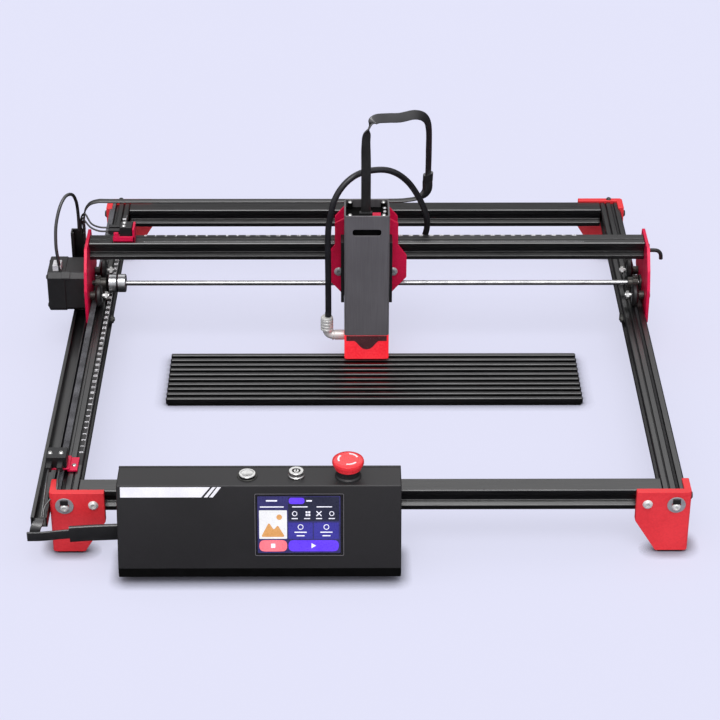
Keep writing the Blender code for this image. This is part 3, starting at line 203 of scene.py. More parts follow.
# black polyester strip of the ruler: dull print film
makeLook("ruleStrip", {"tones": ("#232223", "#302f30"), "patch": 20, "grain": 0.8,
                       "rough": (0.45, 0.6), "relief": 0.1, "set": {"IOR": 1.5}})
# near-black with almost no highlight: painted shade for slots, wells, gaps and hollows that lie in shadow
makeLook("paintedShadeBlack", {"tones": ("#030303", "#080808"), "patch": 10, "grain": 1.0,
                     "rough": (0.7, 0.85), "set": {"Specular IOR Level": 0.1}})
# extruded PVC cable jacket: soft sheen along the length
makeLook("cableJacket", {"tones": ("#161617", "#232324"), "patch": 15, "grain": 0.9,
                         "rough": (0.32, 0.44), "relief": 0.15, "set": {"IOR": 1.9}})
# extruded polyurethane of the hose: a little glossier
makeLook("hosePolyurethane", {"tones": ("#18181a", "#26262a"), "patch": 15, "grain": 0.9,
                              "rough": (0.28, 0.4), "relief": 0.1, "set": {"IOR": 1.5}})
# polished cover glass: near black, with sharp reflections
makeLook("coverGlass", {"tones": ("#1d1c1f", "#252427"), "patch": 30, "grain": 3.0,
                        "rough": (0.08, 0.14), "relief": 0.03, "set": {"IOR": 1.52, "Coat Weight": 0.6}})
# lit display: even colours with a little light of their own
display = {"patch": 12, "grain": 1.0, "rough": (0.25, 0.35), "relief": 0.03, "glow": 0.25}
lit = {"Navy": ("#2b2959", "#323065"), "Panel": ("#202236", "#26283d"), "Blue": ("#322e84", "#393592"),
       "Purple": ("#5a34dc", "#643ee8"), "Coral": ("#ee6e78", "#f67983"), "White": ("#dedee8", "#f4f4fa"),
       "Paper": ("#d6d6d4", "#e0e0de"), "Amber": ("#c48a4c", "#d39c5e")}
for colour, tones in lit.items():
    makeLook("lit" + colour, {**display, "tones": tones})
print("materials ready:", len(looks))


# Mesh helpers, all in millimetres
def spot(axis, u, v, w):
    return Vector({"X": (w, u, v), "Y": (u, w, v), "Z": (u, v, w)}[axis])


def loft(bm, rings, closed=False):
    made = [[bm.verts.new(p) for p in ring] for ring in rings]
    count = len(made[0])
    for a, b in zip(made, made[1:] + (made[:1] if closed else [])):
        for i in range(count):
            bm.faces.new((a[i], a[(i + 1) % count], b[(i + 1) % count], b[i]))
    if not closed:
        bm.faces.new(made[0][::-1])
        bm.faces.new(made[-1])


def slab(bm, axis, outline, low, high):
    loft(bm, [[spot(axis, u, v, w) for u, v in outline] for w in (low, high)])


def block(bm, low, high):
    (x0, y0, z0), (x1, y1, z1) = low, high
    slab(bm, "Z", [(x0, y0), (x1, y0), (x1, y1), (x0, y1)], z0, z1)


def circle(u, v, radius, count=32, start=0.0):
    turns = [start + 2 * math.pi * i / count for i in range(count)]
    return [(u + radius * math.cos(a), v + radius * math.sin(a)) for a in turns]


def turned(bm, axis, centre, profile, count=32, closed=False):
    u, v = centre
    loft(bm, [[spot(axis, a, b, w) for a, b in circle(u, v, r, count)] for r, w in profile], closed)


def filleted(outline, radius, steps=4):
    made = []
    for i, corner in enumerate(outline):
        at = Vector(corner)
        back = Vector(outline[i - 1]) - at
        ahead = Vector(outline[(i + 1) % len(outline)]) - at
        half = back.angle(ahead) / 2
        reach = min(radius / math.tan(half), 0.45 * back.length, 0.45 * ahead.length)
        a = at + back.normalized() * reach
        b = at + ahead.normalized() * reach
        for k in range(steps + 1):
            t = k / steps
            made.append(tuple(a * (1 - t) ** 2 + at * 2 * t * (1 - t) + b * t * t))
    return made


def roundRect(u0, v0, u1, v1, radius, steps=4):
    return filleted([(u0, v0), (u1, v0), (u1, v1), (u0, v1)], radius, steps)


def across(normal):
    n = Vector(normal).normalized()
    a = n.orthogonal().normalized() if abs(n.z) > 0.9 else n.cross(Vector((0, 0, 1))).normalized()
    return a, n.cross(a), n


def bolted(bm, at, normal, rings, count=24):
    a, b, n = across(normal)
    at = Vector(at)
    made = []
    for r, w, six in rings:  # six-sided rings keep r at their corners
        ring = []
        for i in range(count):
            turn = 2 * math.pi * i / count
            flat = math.cos(math.pi / 6) / math.cos(turn % (math.pi / 3) - math.pi / 6) if six else 1
            ring.append(at + (a * math.cos(turn) + b * math.sin(turn)) * r * flat + n * w)
        made.append(ring)
    loft(bm, made)


def screw(bm, at, normal, radius, height, socket=0.45):
    key = radius * socket
    rings = [(radius * 0.96, -0.2, 0), (radius, 0.15 * height, 0), (radius * 0.86, 0.65 * height, 0),
             (radius * 0.6, height, 0), (key, height, 1), (key * 0.96, 0.4 * height, 1)]
    bolted(bm, at, normal, rings)


def hexNut(bm, at, normal, size, height, hole):
    rings = [(size, 0, 1), (size, height * 0.85, 1), (size * 0.82, height, 0), (hole, height, 0),
             (hole, height + 0.9, 0), (hole * 0.5, height + 1.1, 0)]
    bolted(bm, at, normal, rings)


def smooth(points, steps=12):
    route = [Vector(p) for p in points]
    ends = [2 * route[0] - route[1]] + route + [2 * route[-1] - route[-2]]
    fine = []
    for a, b, c, d in zip(ends, ends[1:], ends[2:], ends[3:]):
        for i in range(steps):
            t = i / steps
            fine.append(0.5 * (2 * b + (c - a) * t + (2 * a - 5 * b + 4 * c - d) * t ** 2
                               + (3 * b - a - 3 * c + d) * t ** 3))
    return fine + [route[-1]]


def sweep(bm, path, sides, section):
    rings = []
    for i, at in enumerate(path):
        along = (path[min(i + 1, len(path) - 1)] - path[max(i - 1, 0)]).normalized()
        side = sides[i] - along * sides[i].dot(along)
        side.normalize()
        up = along.cross(side)
        rings.append([at + side * u + up * v for u, v in section])
    loft(bm, rings)


def carried(path, side):
    sides = []
    side = Vector(side)
    for i in range(len(path)):
        along = (path[min(i + 1, len(path) - 1)] - path[max(i - 1, 0)]).normalized()
        side = (side - along * side.dot(along)).normalized()
        sides.append(side.copy())
    return sides


def formed(draw, *settings):
    bm = bmesh.new()
    draw(bm, *settings)
    return bm


def formedAt(draw, spots, *settings):
    bm = bmesh.new()
    for at in spots:
        draw(bm, at, *settings)
    return bm


def tube(path, side, radius, count):
    return formed(sweep, path, carried(path, side), circle(0, 0, radius, count))


def soften(obj, width, steps=2):
    edge = obj.modifiers.new("edges", "BEVEL")
    edge.width = width / 1000
    edge.segments = steps
    edge.limit_method = "ANGLE"
    edge.angle_limit = math.radians(28)
    edge.harden_normals = True


def piece(name, bm, look, body, edge=0, steps=2, stands=()):
    bmesh.ops.recalc_face_normals(bm, faces=bm.faces)
    bmesh.ops.transform(bm, matrix=toRow, verts=bm.verts)
    shape = bpy.data.meshes.new(name)
    bm.to_mesh(shape)
    bm.free()
    shape.shade_smooth()
    shape.materials.append(looks[look])
    obj = bpy.data.objects.new(name, shape)
    bpy.context.scene.collection.objects.link(obj)
    if edge:
        soften(obj, edge, steps)
    else:
        shape.set_sharp_from_angle(angle=math.radians(32))
    if body:
        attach(obj, body)
    if stands:
        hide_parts(*stands)
    return obj


def keep(node, look, edge):
    obj = nodes[node]
    normals = obj.data.attributes.get("custom_normal")
    if normals:
        obj.data.attributes.remove(normals)
    obj.data.shade_smooth()
    obj.data.materials.clear()
    obj.data.materials.append(looks[look])
    weld = obj.modifiers.new("weld", "WELD")
    weld.merge_threshold = 1e-5
    flats = obj.modifiers.new("flats", "DECIMATE")
    flats.decimate_type = "DISSOLVE"
    flats.angle_limit = math.radians(0.5)
    soften(obj, edge)


def carve(obj, cutter):
    cut = obj.modifiers.new("cut", "BOOLEAN")
    cut.object = cutter
    cut.solver = "EXACT"
    bpy.context.view_layer.update()
    solved = bpy.data.meshes.new_from_object(obj.evaluated_get(bpy.context.evaluated_depsgraph_get()))
    obj.modifiers.remove(cut)
    obj.data = solved
    bpy.data.objects.remove(cutter)


# Camera: long lens a little over 2 m away, fitted to the frame's corners
view = {"lens": 112, "place": (-21.9, -1866.4, 1130.1), "pitch": 30.57, "yaw": 0.45, "roll": 0.14}
lens = bpy.data.cameras.new("camera")
lens.lens = view["lens"]
lens.sensor_width = 36
lens.clip_end = 20
camera = bpy.data.objects.new("camera", lens)
bpy.context.scene.collection.objects.link(camera)
pitch, yaw, roll = [math.radians(view[k]) for k in ("pitch", "yaw", "roll")]
ahead = Vector((math.sin(yaw) * math.cos(pitch), math.cos(yaw) * math.cos(pitch), -math.sin(pitch)))
right = ahead.cross(Vector((0, 0, 1))).normalized()
above = right.cross(ahead)
rolled = right * math.cos(roll) + above * math.sin(roll)
above = above * math.cos(roll) - right * math.sin(roll)
turn = Matrix((rolled, above, -ahead)).transposed().to_4x4()
camera.matrix_world = Matrix.Translation(place(*view["place"])) @ turn
bpy.context.scene.camera = camera

# Studio: pale sweep under broad light from above, with a soft key from the front
studio = {"paper": "#e5e6fa", "sky": 1.08, "horizon": 0.66, "below": 0.1, "behind": 0.15,
          "key": 1.35, "elevation": 62, "panel": 6.4, "panelSize": (2.2, 0.8), "panelAt": (0, 1.25, 1.25),
          "fibre": ("#d3d4e8", "#d7d8ec"), "waves": 3.0,  # waves of the paper's tone in a metre
          "mirrored": "#2a2a2e", "lift": 0.68, "contact": 0.013, "fade": 3.5}
scene = bpy.context.scene
scene.view_settings.view_transform = "Standard"
world = bpy.data.worlds.new("studio")
scene.world = world
world.use_nodes = True
sky = world.node_tree
seen = sky.nodes["Background"]
seen.inputs["Color"].default_value = toLinear(studio["paper"])
rays = addNode(sky, "LightPath")
shown = addNode(sky, "Math", {0: rays.outputs["Is Camera Ray"], 1: rays.outputs["Is Transmission Ray"]},
                operation="MAXIMUM")
height = addNode(sky, "SeparateXYZ", {0: addNode(sky, "TexCoord").outputs["Generated"]})
climb = addNode(sky, "MapRange", {"Value": height.outputs["Z"], "From Min": 0.0, "From Max": 0.9,
                                  "To Min": studio["horizon"], "To Max": studio["sky"]})
sunk = addNode(sky, "MapRange", {"Value": height.outputs["Z"], "From Min": -0.1, "From Max": 0.0,
                                 "To Min": studio["below"], "To Max": 1.0})
bright = addNode(sky, "Math", {0: climb.outputs[0], 1: sunk.outputs[0]}, operation="MULTIPLY")
behind = addNode(sky, "MapRange", {"Value": height.outputs["Y"], "From Min": -0.2, "From Max": 0.6})
low = addNode(sky, "MapRange", {"Value": height.outputs["Z"], "From Min": 0.5, "From Max": 0.9,
                                "To Min": 1.0, "To Max": 0.0})
corner = addNode(sky, "Math", {0: behind.outputs[0], 1: low.outputs[0]}, operation="MULTIPLY")
dusk = addNode(sky, "MapRange", {"Value": corner.outputs[0], "To Min": 1.0, "To Max": studio["behind"]})
level = addNode(sky, "Math", {0: bright.outputs[0], 1: dusk.outputs[0]}, operation="MULTIPLY")
soft = addNode(sky, "Background", {"Color": toLinear("#fbfaff"), "Strength": level.outputs[0]})
pick = addNode(sky, "MixShader", {0: shown.outputs[0], 1: soft.outputs[0], 2: seen.outputs[0]})
sky.links.new(pick.outputs[0], sky.nodes["World Output"].inputs["Surface"])

key = bpy.data.lights.new("key", "SUN")
key.energy = studio["key"]
key.angle = math.radians(34)
keyLight = bpy.data.objects.new("key", key)
scene.collection.objects.link(keyLight)
keyLight.rotation_euler = (math.radians(90 - studio["elevation"]), 0, math.radians(-4))

panel = bpy.data.lights.new("panel", "AREA")  # mirrored by the front half of the level faces only
panel.shape = "RECTANGLE"
panel.size, panel.size_y = studio["panelSize"]
panel.energy = studio["panel"]
panelLight = bpy.data.objects.new("panel", panel)
scene.collection.objects.link(panelLight)
panelLight.location = studio["panelAt"]
panelLight.visible_diffuse = False  # a mirror image alone, so the floor stays even
panelLight.rotation_euler = (Vector((0, 0, 0)) - panelLight.location).to_track_quat("-Z", "Y").to_euler()

paper = bpy.data.materials.new("paperSweep")
paper.use_nodes = True
tree = paper.node_tree
sheet = tree.nodes["Principled BSDF"]
fibre = addNode(tree, "TexNoise", {"Vector": addNode(tree, "TexCoord").outputs["Object"],
                                   "Scale": studio["waves"]})
shade = addNode(tree, "Mix", {0: fibre.outputs["Fac"], 6: toLinear(studio["fibre"][0]),
                              7: toLinear(studio["fibre"][1])}, data_type="RGBA")
rays = addNode(tree, "LightPath")  # dark to mirror rays, as the black fronts show no paper
dim = addNode(tree, "Mix", {0: rays.outputs["Is Glossy Ray"], 6: shade.outputs[2],
                            7: toLinear(studio["mirrored"])}, data_type="RGBA")
tree.links.new(dim.outputs[2], sheet.inputs["Base Color"])
sheet.inputs["Roughness"].default_value = 0.9
sheet.inputs["Specular IOR Level"].default_value = 0.0
share = addNode(tree, "Math", {0: rays.outputs["Is Camera Ray"], 1: studio["lift"]}, operation="MULTIPLY")
near = addNode(tree, "AmbientOcclusion", {"Distance": studio["contact"]}, samples=6)
dark = addNode(tree, "Math", {0: near.outputs["AO"], 1: studio["fade"]}, operation="POWER")
# a glow of the paper's colour, seen by the camera alone, paints light into the wide shadows as a bright sweep
# would; an occlusion node dims it where the object stands, a painted contact shadow
glow = addNode(tree, "Emission", {"Color": toLinear(studio["paper"]), "Strength": dark.outputs[0]})
lifted = addNode(tree, "MixShader", {0: share.outputs[0], 1: sheet.outputs[0], 2: glow.outputs[0]})
tree.links.new(lifted.outputs[0], tree.nodes["Material Output"].inputs["Surface"])
bm = formed(slab, "Z", circle(0, 0, 6000, 64), -2, 0)
floor = piece("floor", bm, "whiteInk", None)
floor.data.materials.clear()
floor.data.materials.append(paper)
print("camera and studio ready")


# Cords
def ribbonSection(width, thick):
    return roundRect(-width / 2, -thick / 2, width / 2, thick / 2, thick / 2.2, 3)


def pathLength(path):
    return sum((b - a).length for a, b in zip(path, path[1:])) / 1000


def layCord(name, bm, path, look, node):
    obj = piece(name, bm, look, None, stands=[node])
    pathLength(path)
    return obj


def leaning(stations, steps=12):
    sides = []
    for a, b in zip(stations, stations[1:]):
        for i in range(steps):
            t = i / steps
            t = t * t * (3 - 2 * t)
            sides.append(Vector(a).lerp(Vector(b), t))
    return sides + [Vector(stations[-1])]


flatCable = {"width": 9.2, "run": 7.2, "thick": 1.7, "sleeve": (10.8, 5.0)}
# flat over the beam, from the carrier's end to the carriage
runPath = smooth([(-280.0, 116, 109.3), (-280.0, 116, 121), (-277.0, 116, 134), (-267.0, 116, 141.0),
                  (-240.0, 116, 141.4), (-110.0, 116, 141.4), (14.0, 116, 141.4), (41.0, 116, 142.5),
                  (53.0, 116, 146.0), (59.0, 116, 153.0), (59.5, 115, 164.0)])
runSides = leaning([(0, 1, 0)] * 10 + [(0.2, 1, 0)])
bm = formed(sweep, runPath, runSides, ribbonSection(flatCable["run"], flatCable["thick"]))
run = layCord("headCableRun", bm, runPath, "cableJacket", "head_cable_run")
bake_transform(run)
# standing loop with a half twist before it drops into the head
loopPath = smooth([(59.7, 114.6, 164.3), (59.9, 111, 178.4), (59.7, 104, 202.5), (58.8, 94, 230.3),
                   (54.6, 86, 244.4), (44.8, 76, 252.1), (30.5, 66, 253.7), (19.2, 60, 256.0),
                   (7.1, 52, 258.2), (1.5, 46, 252.9), (-1.6, 43, 242.1), (-1.6, 42, 211.8),
                   (-1.6, 42, 162.4)])
loopSides = leaning([(0.55, 0.83, 0), (0.55, 0.83, 0), (0.55, 0.83, 0), (0.5, 0.8, 0.2), (0.3, 0.75, 0.6),
                     (0.05, 0.6, 0.8), (0, 0.5, 0.86), (-0.1, 0.5, 0.86), (-0.1, 0.6, 0.8), (0, 0.9, -0.3),
                     (0.85, 0.5, 0), (1, 0, 0), (1, 0, 0)])
bm = formed(sweep, loopPath, loopSides, ribbonSection(flatCable["width"], flatCable["thick"]))
loop = layCord("headCableLoop", bm, loopPath, "cableJacket", "head_cable_loop")
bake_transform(loop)
# shrink sleeve where the flat cable turns up
sleevePath = [p for p in runPath if p.x > 53] + loopPath[:9]
sleeveSides = [Vector((0.8, 0.6, 0))] * len(sleevePath)
piece("cableSleeve", formed(sweep, sleevePath, sleeveSides, ribbonSection(*flatCable["sleeve"])),
      "cableJacket", "carriage")

hosePath = smooth([(-37.9, 43.55, 55.9), (-37.9, 43.55, 95), (-37.9, 43.55, 138), (-36.2, 44, 156.8),
                   (-30.9, 46, 178.5), (-20.6, 52, 192.3), (-6.5, 60, 198.8), (12.5, 70, 197.5),
                   (26.8, 78, 190.4), (39.6, 86, 176.4), (49.7, 94, 157.4), (56.9, 100, 138.2),
                   (59.5, 104, 122.0), (57.5, 105.75, 108.5), (52.0, 105.75, 98.0), (47.0, 105.75, 91.5),
                   (39.8, 105.75, 89.6), (34.7, 105.75, 89.6)])
hose = layCord("airHose", tube(hosePath, (1, 0, 0), 3.0, 20), hosePath, "hosePolyurethane",
               "air_hose")
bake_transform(hose)

motorPath = smooth([(-300.5, 66, 90.9), (-301.5, 67, 102), (-303.0, 70, 116), (-302.5, 77, 134.5),
                    (-298.8, 86, 149.7), (-293.7, 95, 157.0), (-288.5, 104, 154.5), (-286.0, 111, 144.0),
                    (-285.5, 116, 129.0), (-285.5, 116, 109.3)])
motorLead = layCord("motorLead", tube(motorPath, (1, 0, 0), 1.6, 16), motorPath, "cableJacket",
                    "motor_lead")
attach(motorLead, "gantry")

# flat lead on edge, from the carrier's front end to the console
leadPath = smooth([(-282.0, -296.3, 44.0), (-284.5, -300.5, 43.0), (-287.8, -302.5, 39.0),
                   (-289.5, -303.5, 34.5), (-286.0, -304.0, 31.5), (-279.0, -304.0, 31.6),
                   (-261.2, -303.0, 33.5), (-238.6, -301.0, 33.5), (-212.8, -300.0, 33.5)])
flatLead = {"width": 9.0, "thick": 2.0, "sleeve": (15.5, 3.6)}
leadSection = ribbonSection(flatLead["width"], flatLead["thick"])
drop = smooth([(-281.8, -294.0, 44.6), (-282.6, -298.4, 43.6), (-284.6, -301.6, 40.0),
               (-286.6, -302.6, 30.2)], 6)  # creased flat where it drops out of the carrier
bm = formed(sweep, drop, [Vector((1, 0, 0))] * len(drop), leadSection)
strip = smooth([(-291.8, -304.0, 33.6), (-279.0, -304.0, 33.9), (-261.2, -303.0, 35.2),
                (-238.6, -301.0, 35.4), (-212.8, -300.0, 35.6)])
sweep(bm, strip, [Vector((0, 0, 1))] * len(strip), leadSection)
lead = layCord("consoleLead", bm, leadPath, "cableJacket", "console_lead")
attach(lead, "frame")
print("cords laid")

# Frame bars: slotted sections with a wheel groove and a scribed line on top
bar = {"half": 9.25, "corner": 0.9, "railX": 260.25, "railZ": 50.75, "railEnd": 275.7, "spread": 1.11,
       "beamY": 266.45, "beamEnd": 249.6, "crossEnd": 270.7, "tee": (0, 10.1, 4.5, 4.6),
       "track": (3.2, 2.0, 2.6), "line": (1.5, 0.6, 1.6)}
gantry = {"y": 79.0, "beamZ": 109.35, "axle": 69.6}  # where the photograph shows it
bothSides = (("left", -1), ("right", 1))


def barOutline(slots):
    half = bar["half"]
    loop = []
    for side, (du, dv) in {"low": (1, 0), "right": (0, 1), "top": (-1, 0), "left": (0, -1)}.items():
        nu, nv = dv, -du
        for cu, cv in ((-nu, -nv), (du, dv)):
            loop.append((half * (nu - du) + bar["corner"] * cu, half * (nv - dv) + bar["corner"] * cv))
        for centre, mouth, bed, depth in sorted(slots.get(side, []), key=lambda s: s[0] * (du + dv)):
            for along, deep in ((-mouth, 0), (-bed, depth), (bed, depth), (mouth, 0)):
                step = centre * (du + dv) + along / 2
                loop.append((nu * (half - deep) + du * step, nv * (half - deep) + dv * step))
    return loop


tee = [bar["tee"]]
for side, sx in bothSides:
    track = [(sx * 2.6, *bar["track"])]
    marks = track + [(-sx * 3.9, *bar["line"])]
    outline = barOutline({"top": marks, "low": track, "left": tee, "right": tee})
    ring = [(u * bar["spread"] + sx * bar["railX"], v + bar["railZ"]) for u, v in outline]
    piece(side + "RailBar", formed(slab, "Y", ring, -bar["railEnd"], bar["railEnd"]), "anodisedAlong",
          "frame", 0.35, stands=[side + "_rail"])
for end, sy, mid, tall in (("front", -1, 50.9, 1.11), ("rear", 1, 50.2, 1.08)):
    outline = barOutline({"left": tee, "right": tee, "low": tee})
    ring = [(u + sy * bar["beamY"], v * tall + mid) for u, v in outline]
    piece(end + "BeamBar", formed(slab, "X", ring, -bar["beamEnd"], bar["beamEnd"]), "anodisedAcross",
          "frame", 0.5, stands=[end + "_beam"])
outline = barOutline({"top": [(-0.9, *bar["line"])], "low": [(0, *bar["track"])], "left": tee, "right": tee})
ring = [(u + gantry["y"], v + gantry["beamZ"]) for u, v in outline]
piece("crossBeamBar", formed(slab, "X", ring, -bar["crossEnd"], bar["crossEnd"]), "anodisedAcross",
      "gantry", 0.4, stands=["x_beam"])

# Toothed belts, 2 mm pitch
belt = {"pitch": 2.0, "tooth": 0.75}


def toothed(bm, axis, centre, width, low, root, tip, reach):
    half = width / 2
    rings = []
    for i in range(int(2 * reach / belt["pitch"])):
        base = i * belt["pitch"] - reach
        for step, top in ((0.1, root), (0.4, tip), (0.4 + belt["tooth"], tip), (0.7 + belt["tooth"], root)):
            ring = [(centre - half, low), (centre + half, low), (centre + half, top), (centre - half, top)]
            along = base + step
            rings.append([Vector((a, along, z) if axis == "Y" else (along, a, z)) for a, z in ring])
    loft(bm, rings)


belts = (("leftBelt", "left_belt", "beltRubber", "frame", ("Y", -267.6, 5.2, 59.9, 60.7, 61.4, 275.5)),
         ("rightBelt", "right_belt", "blackPlastic", "frame", ("Y", 263.15, 2.2, 57.6, 58.2, 58.9, 275.5)),
         ("crossBelt", "x_belt", "blackPlastic", "gantry", ("X", 84.65, 4.2, 99.8, 99.1, 98.4, 270.5)))
for name, node, look, body, settings in belts:
    piece(name, formed(toothed, *settings), look, body, stands=[node])


# Rulers: printed strips, a number each 10 mm
def numbers(bm, labels, size, turn):
    for text, at in labels:
        words = bpy.data.curves.new("figure", "FONT")
        words.body = text
        words.size = size
        words.align_x = "CENTER"
        words.align_y = "CENTER"
        words.extrude = 0.03
        words.offset = 0.09
        holder = bpy.data.objects.new("figure", words)
        scene.collection.objects.link(holder)
        bpy.context.view_layer.update()
        flat = bpy.data.meshes.new_from_object(holder.evaluated_get(bpy.context.evaluated_depsgraph_get()))
        flat.transform(Matrix.Translation(at) @ Matrix.Rotation(turn, 4, "Z"))
        bm.from_mesh(flat)
        bpy.data.objects.remove(holder)
        bpy.data.meshes.remove(flat)


rule = {"railX": (-254.9, -250.9), "railFrom": -233.0, "railZero": -213.4, "railLabels": 46,
        "beamZero": -217.0, "beamLabels": 43}
piece("railRule", formed(block, (rule["railX"][0], rule["railFrom"], 60.0), (rule["railX"][1], 245, 60.12)),
      "ruleStrip", "frame")
bm = bmesh.new()
labels = [(str(i), Vector((-253.2, rule["railZero"] + 10 * i, 60.17))) for i in range(rule["railLabels"])]
numbers(bm, labels, 4.6, math.radians(90))
for i in range(rule["railLabels"] * 5):
    y = rule["railZero"] + 2 * i
    reach = 1.1 if i % 5 == 0 else 0.6
    block(bm, (-251.0 - reach, y - 0.15, 60.1), (-251.0, y + 0.15, 60.17))
piece("railFigures", bm, "whiteInk", "frame")
bm = bmesh.new()
labels = [(str(i), Vector((rule["beamZero"] + 10 * i, 86.0, 118.66))) for i in range(rule["beamLabels"])]
numbers(bm, labels, 4.4, 0)
for i in range(rule["beamLabels"] * 5):
    x = rule["beamZero"] + 2 * i
    reach = 1.8 if i % 5 == 0 else 1.1
    block(bm, (x - 0.2, 72.4, 118.58), (x + 0.2, 72.4 + reach, 118.66))
piece("beamFigures", bm, "whiteInk", "gantry")

# Corner brackets: thick sheet folded round the frame's corners
fold = {"out": (274.3, 281.0), "thick": 6.2, "width": 47.0, "flange": 22.5, "low": 1.7, "top": 62.0,
        "chamfer": (19.2, 30.8), "radius": 3.2, "bolt": 261.6}
for end, sy in (("front", -1), ("rear", 1)):
    for side, sx in bothSides:
        ox, oy = fold["out"]
        thick, radius = fold["thick"], fold["radius"]
        edge = ox - fold["width"]
        stations = [((edge, oy), (edge, oy - thick), fold["low"] + fold["chamfer"][1])]
        for x, back in ((edge + fold["chamfer"][0], 0), (ox - radius, thick - radius + 2.6)):
            stations.append(((x, oy), (x - back, oy - thick), fold["low"]))
        for i in range(1, 8):
            a = math.radians(90 - 90 * i / 7)
            inner = (ox - thick - max(4 - i, 0) * 0.6, oy - thick - max(i - 4, 0) * 0.6)
            stations.append(((ox - radius + radius * math.cos(a), oy - radius + radius * math.sin(a)),
                             inner, fold["low"]))
        stations.append(((ox, oy - fold["flange"]), (ox - thick, oy - fold["flange"]), fold["low"]))
        bm = bmesh.new()
        loft(bm, [[Vector((sx * a[0], sy * a[1], low)), Vector((sx * a[0], sy * a[1], fold["top"])),
                   Vector((sx * b[0], sy * b[1], fold["top"])), Vector((sx * b[0], sy * b[1], low))]
                  for a, b, low in stations])
        name = end.capitalize() + side.capitalize()
        piece("corner" + name, bm, "redPowderCoat", "frame", 1.0, 3,
              stands=["corner_" + end + "_" + side])
        out, bolt = (0, sy, 0), sx * fold["bolt"]
        bm = formed(screw, (sx * 237.0, sy * 281, 49.9), out, 4.4, 2.4)
        screw(bm, (bolt, sy * 281.6, 47.6), out, 3.8, 2.2)
        piece("frontScrews" + name, bm, "satinNickel", "frame")
        rim = [(4.0, 281.0), (7.6, 281.0), (7.9, 281.3), (7.9, 281.8), (7.6, 282.0), (4.0, 282.0)]
        bm = formed(turned, "Y", (bolt, 49.4), [(r, sy * y) for r, y in rim], 40, True)
        piece("washer" + name, bm, "zincPlate", "frame")
        y0, y1 = sorted((sy * 280.5, sy * 283.2))
        bm = formed(block, (bolt - 3.3, y0, 50.8), (bolt + 3.3, y1, 55.6))
        piece("beltClamp" + name, bm, "blackPlastic", "frame", 0.4)
        bm = formed(screw, (sx * 274.3, sy * 268.0, 50.75), (sx, 0, 0), 4.2, 2.6)
        if sy > 0:
            screw(bm, (sx * 260.0, sy * 278.5, 62.0), (0, 0, 1), 2.6, 1.8)
        piece("sideScrews" + name, bm, "blackOxide", "frame")
        x0, x1 = sorted((sx * 248.6, sx * 270.6))
        y0, y1 = sorted((sy * 261.0, sy * 280.2))
        piece("foot" + name, formed(slab, "Z", roundRect(x0, y0, x1, y1, 1.5, 4), 0, 2.6), "footRubber",
              "frame", 0.3, stands=["foot_" + end + "_" + side])
# tee nuts on the inner sides of the rails
bm = bmesh.new()
for sx in (-1, 1):
    hexNut(bm, (sx * 251.0, 40, 50.75), (-sx, 0, 0), 4.0, 3.4, 2.0)
piece("teeNuts", bm, "blackOxide", "frame")
print("frame dressed")

# Cable carrier: open channel that bends up behind the motor
channel = {"x": -282.0, "half": 7.0, "wall": 1.5, "z": 43.0, "deep": 5.0, "bend": 20.0, "front": -296.0,
           "end": 116.0, "top": 109.0, "lip": 3.2}
track = [(Vector((0, channel["front"] + i * 9.8, channel["z"])), Vector((0, 0, 1))) for i in range(40)]
for i in range(9):
    a = math.radians(90 * i / 8)
    track.append((Vector((0, channel["end"] - channel["bend"] + channel["bend"] * math.sin(a),
                          channel["z"] + channel["bend"] * (1 - math.cos(a)))),
                  Vector((0, -math.sin(a), math.cos(a)))))
track += [(Vector((0, channel["end"], z)), Vector((0, -1, 0))) for z in (78, 93, channel["top"])]
lean = [0.0] * 40 + [-4.6 * i / 8 for i in range(9)] + [-4.6] * 3
w, h, t = channel["half"], channel["deep"], channel["wall"]
lip = channel["lip"]
section = [(-w, h), (-w, -h), (w, -h), (w, h), (w - t, h), (w - t, t - h), (t - w, t - h), (t - w, h - t),
           (lip - w, h - t), (lip - w, h)]
bm = bmesh.new()
loft(bm, [[Vector((channel["x"] + out + u, 0, 0)) + at + up * v for u, v in section]
          for (at, up), out in zip(track, lean)])
carrier = piece("cableCarrier", bm, "satinNylon", None, 0.35,
                stands=["cable_carrier"])
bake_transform(carrier)


# Limit switches with their folded brackets, plugs and wires
def plug(bm, at, size):
    block(bm, [a - s / 2 for a, s in zip(at, size)], [a + s / 2 for a, s in zip(at, size)])


keep("y_switch_bracket", "crimsonAnodised", 0.5)
piece("railSwitch", formed(block, (-280.0, -245.0, 64.2), (-262.5, -228.5, 75.4)),
      "blackPlastic", "frame", 0.8, stands=["y_limit_switch"])
bm = formedAt(screw, [(x, -238.0, 75.4) for x in (-276.8, -267.3)], (0, 0, 1), 2.3, 1.2)
screw(bm, (-257.0, -237.5, 62.3), (0, 0, 1), 2.2, 1.0)
piece("railSwitchScrews", bm, "platedMetal", "frame")
plugs = (-277.0, -267.6)
bm = formedAt(plug, [(x, -249.5, 69.0) for x in plugs], (5.0, 11.0, 5.6))
piece("railSwitchPlugs", bm, "blackPlastic", "frame", 0.8)
for i, x in enumerate(plugs):
    path = smooth([(x, -254, 69.0), (x - 0.5, -266, 66), (x - 1.2, -275, 60), (-279.5 + 1.8 * i, -284, 51),
                   (-280.5 + 1.6 * i, -292, 44.5)], 8)
    piece("railSwitchWire" + str(i), tube(path, (1, 0, 0), 0.9, 10), "cableJacket", "frame")

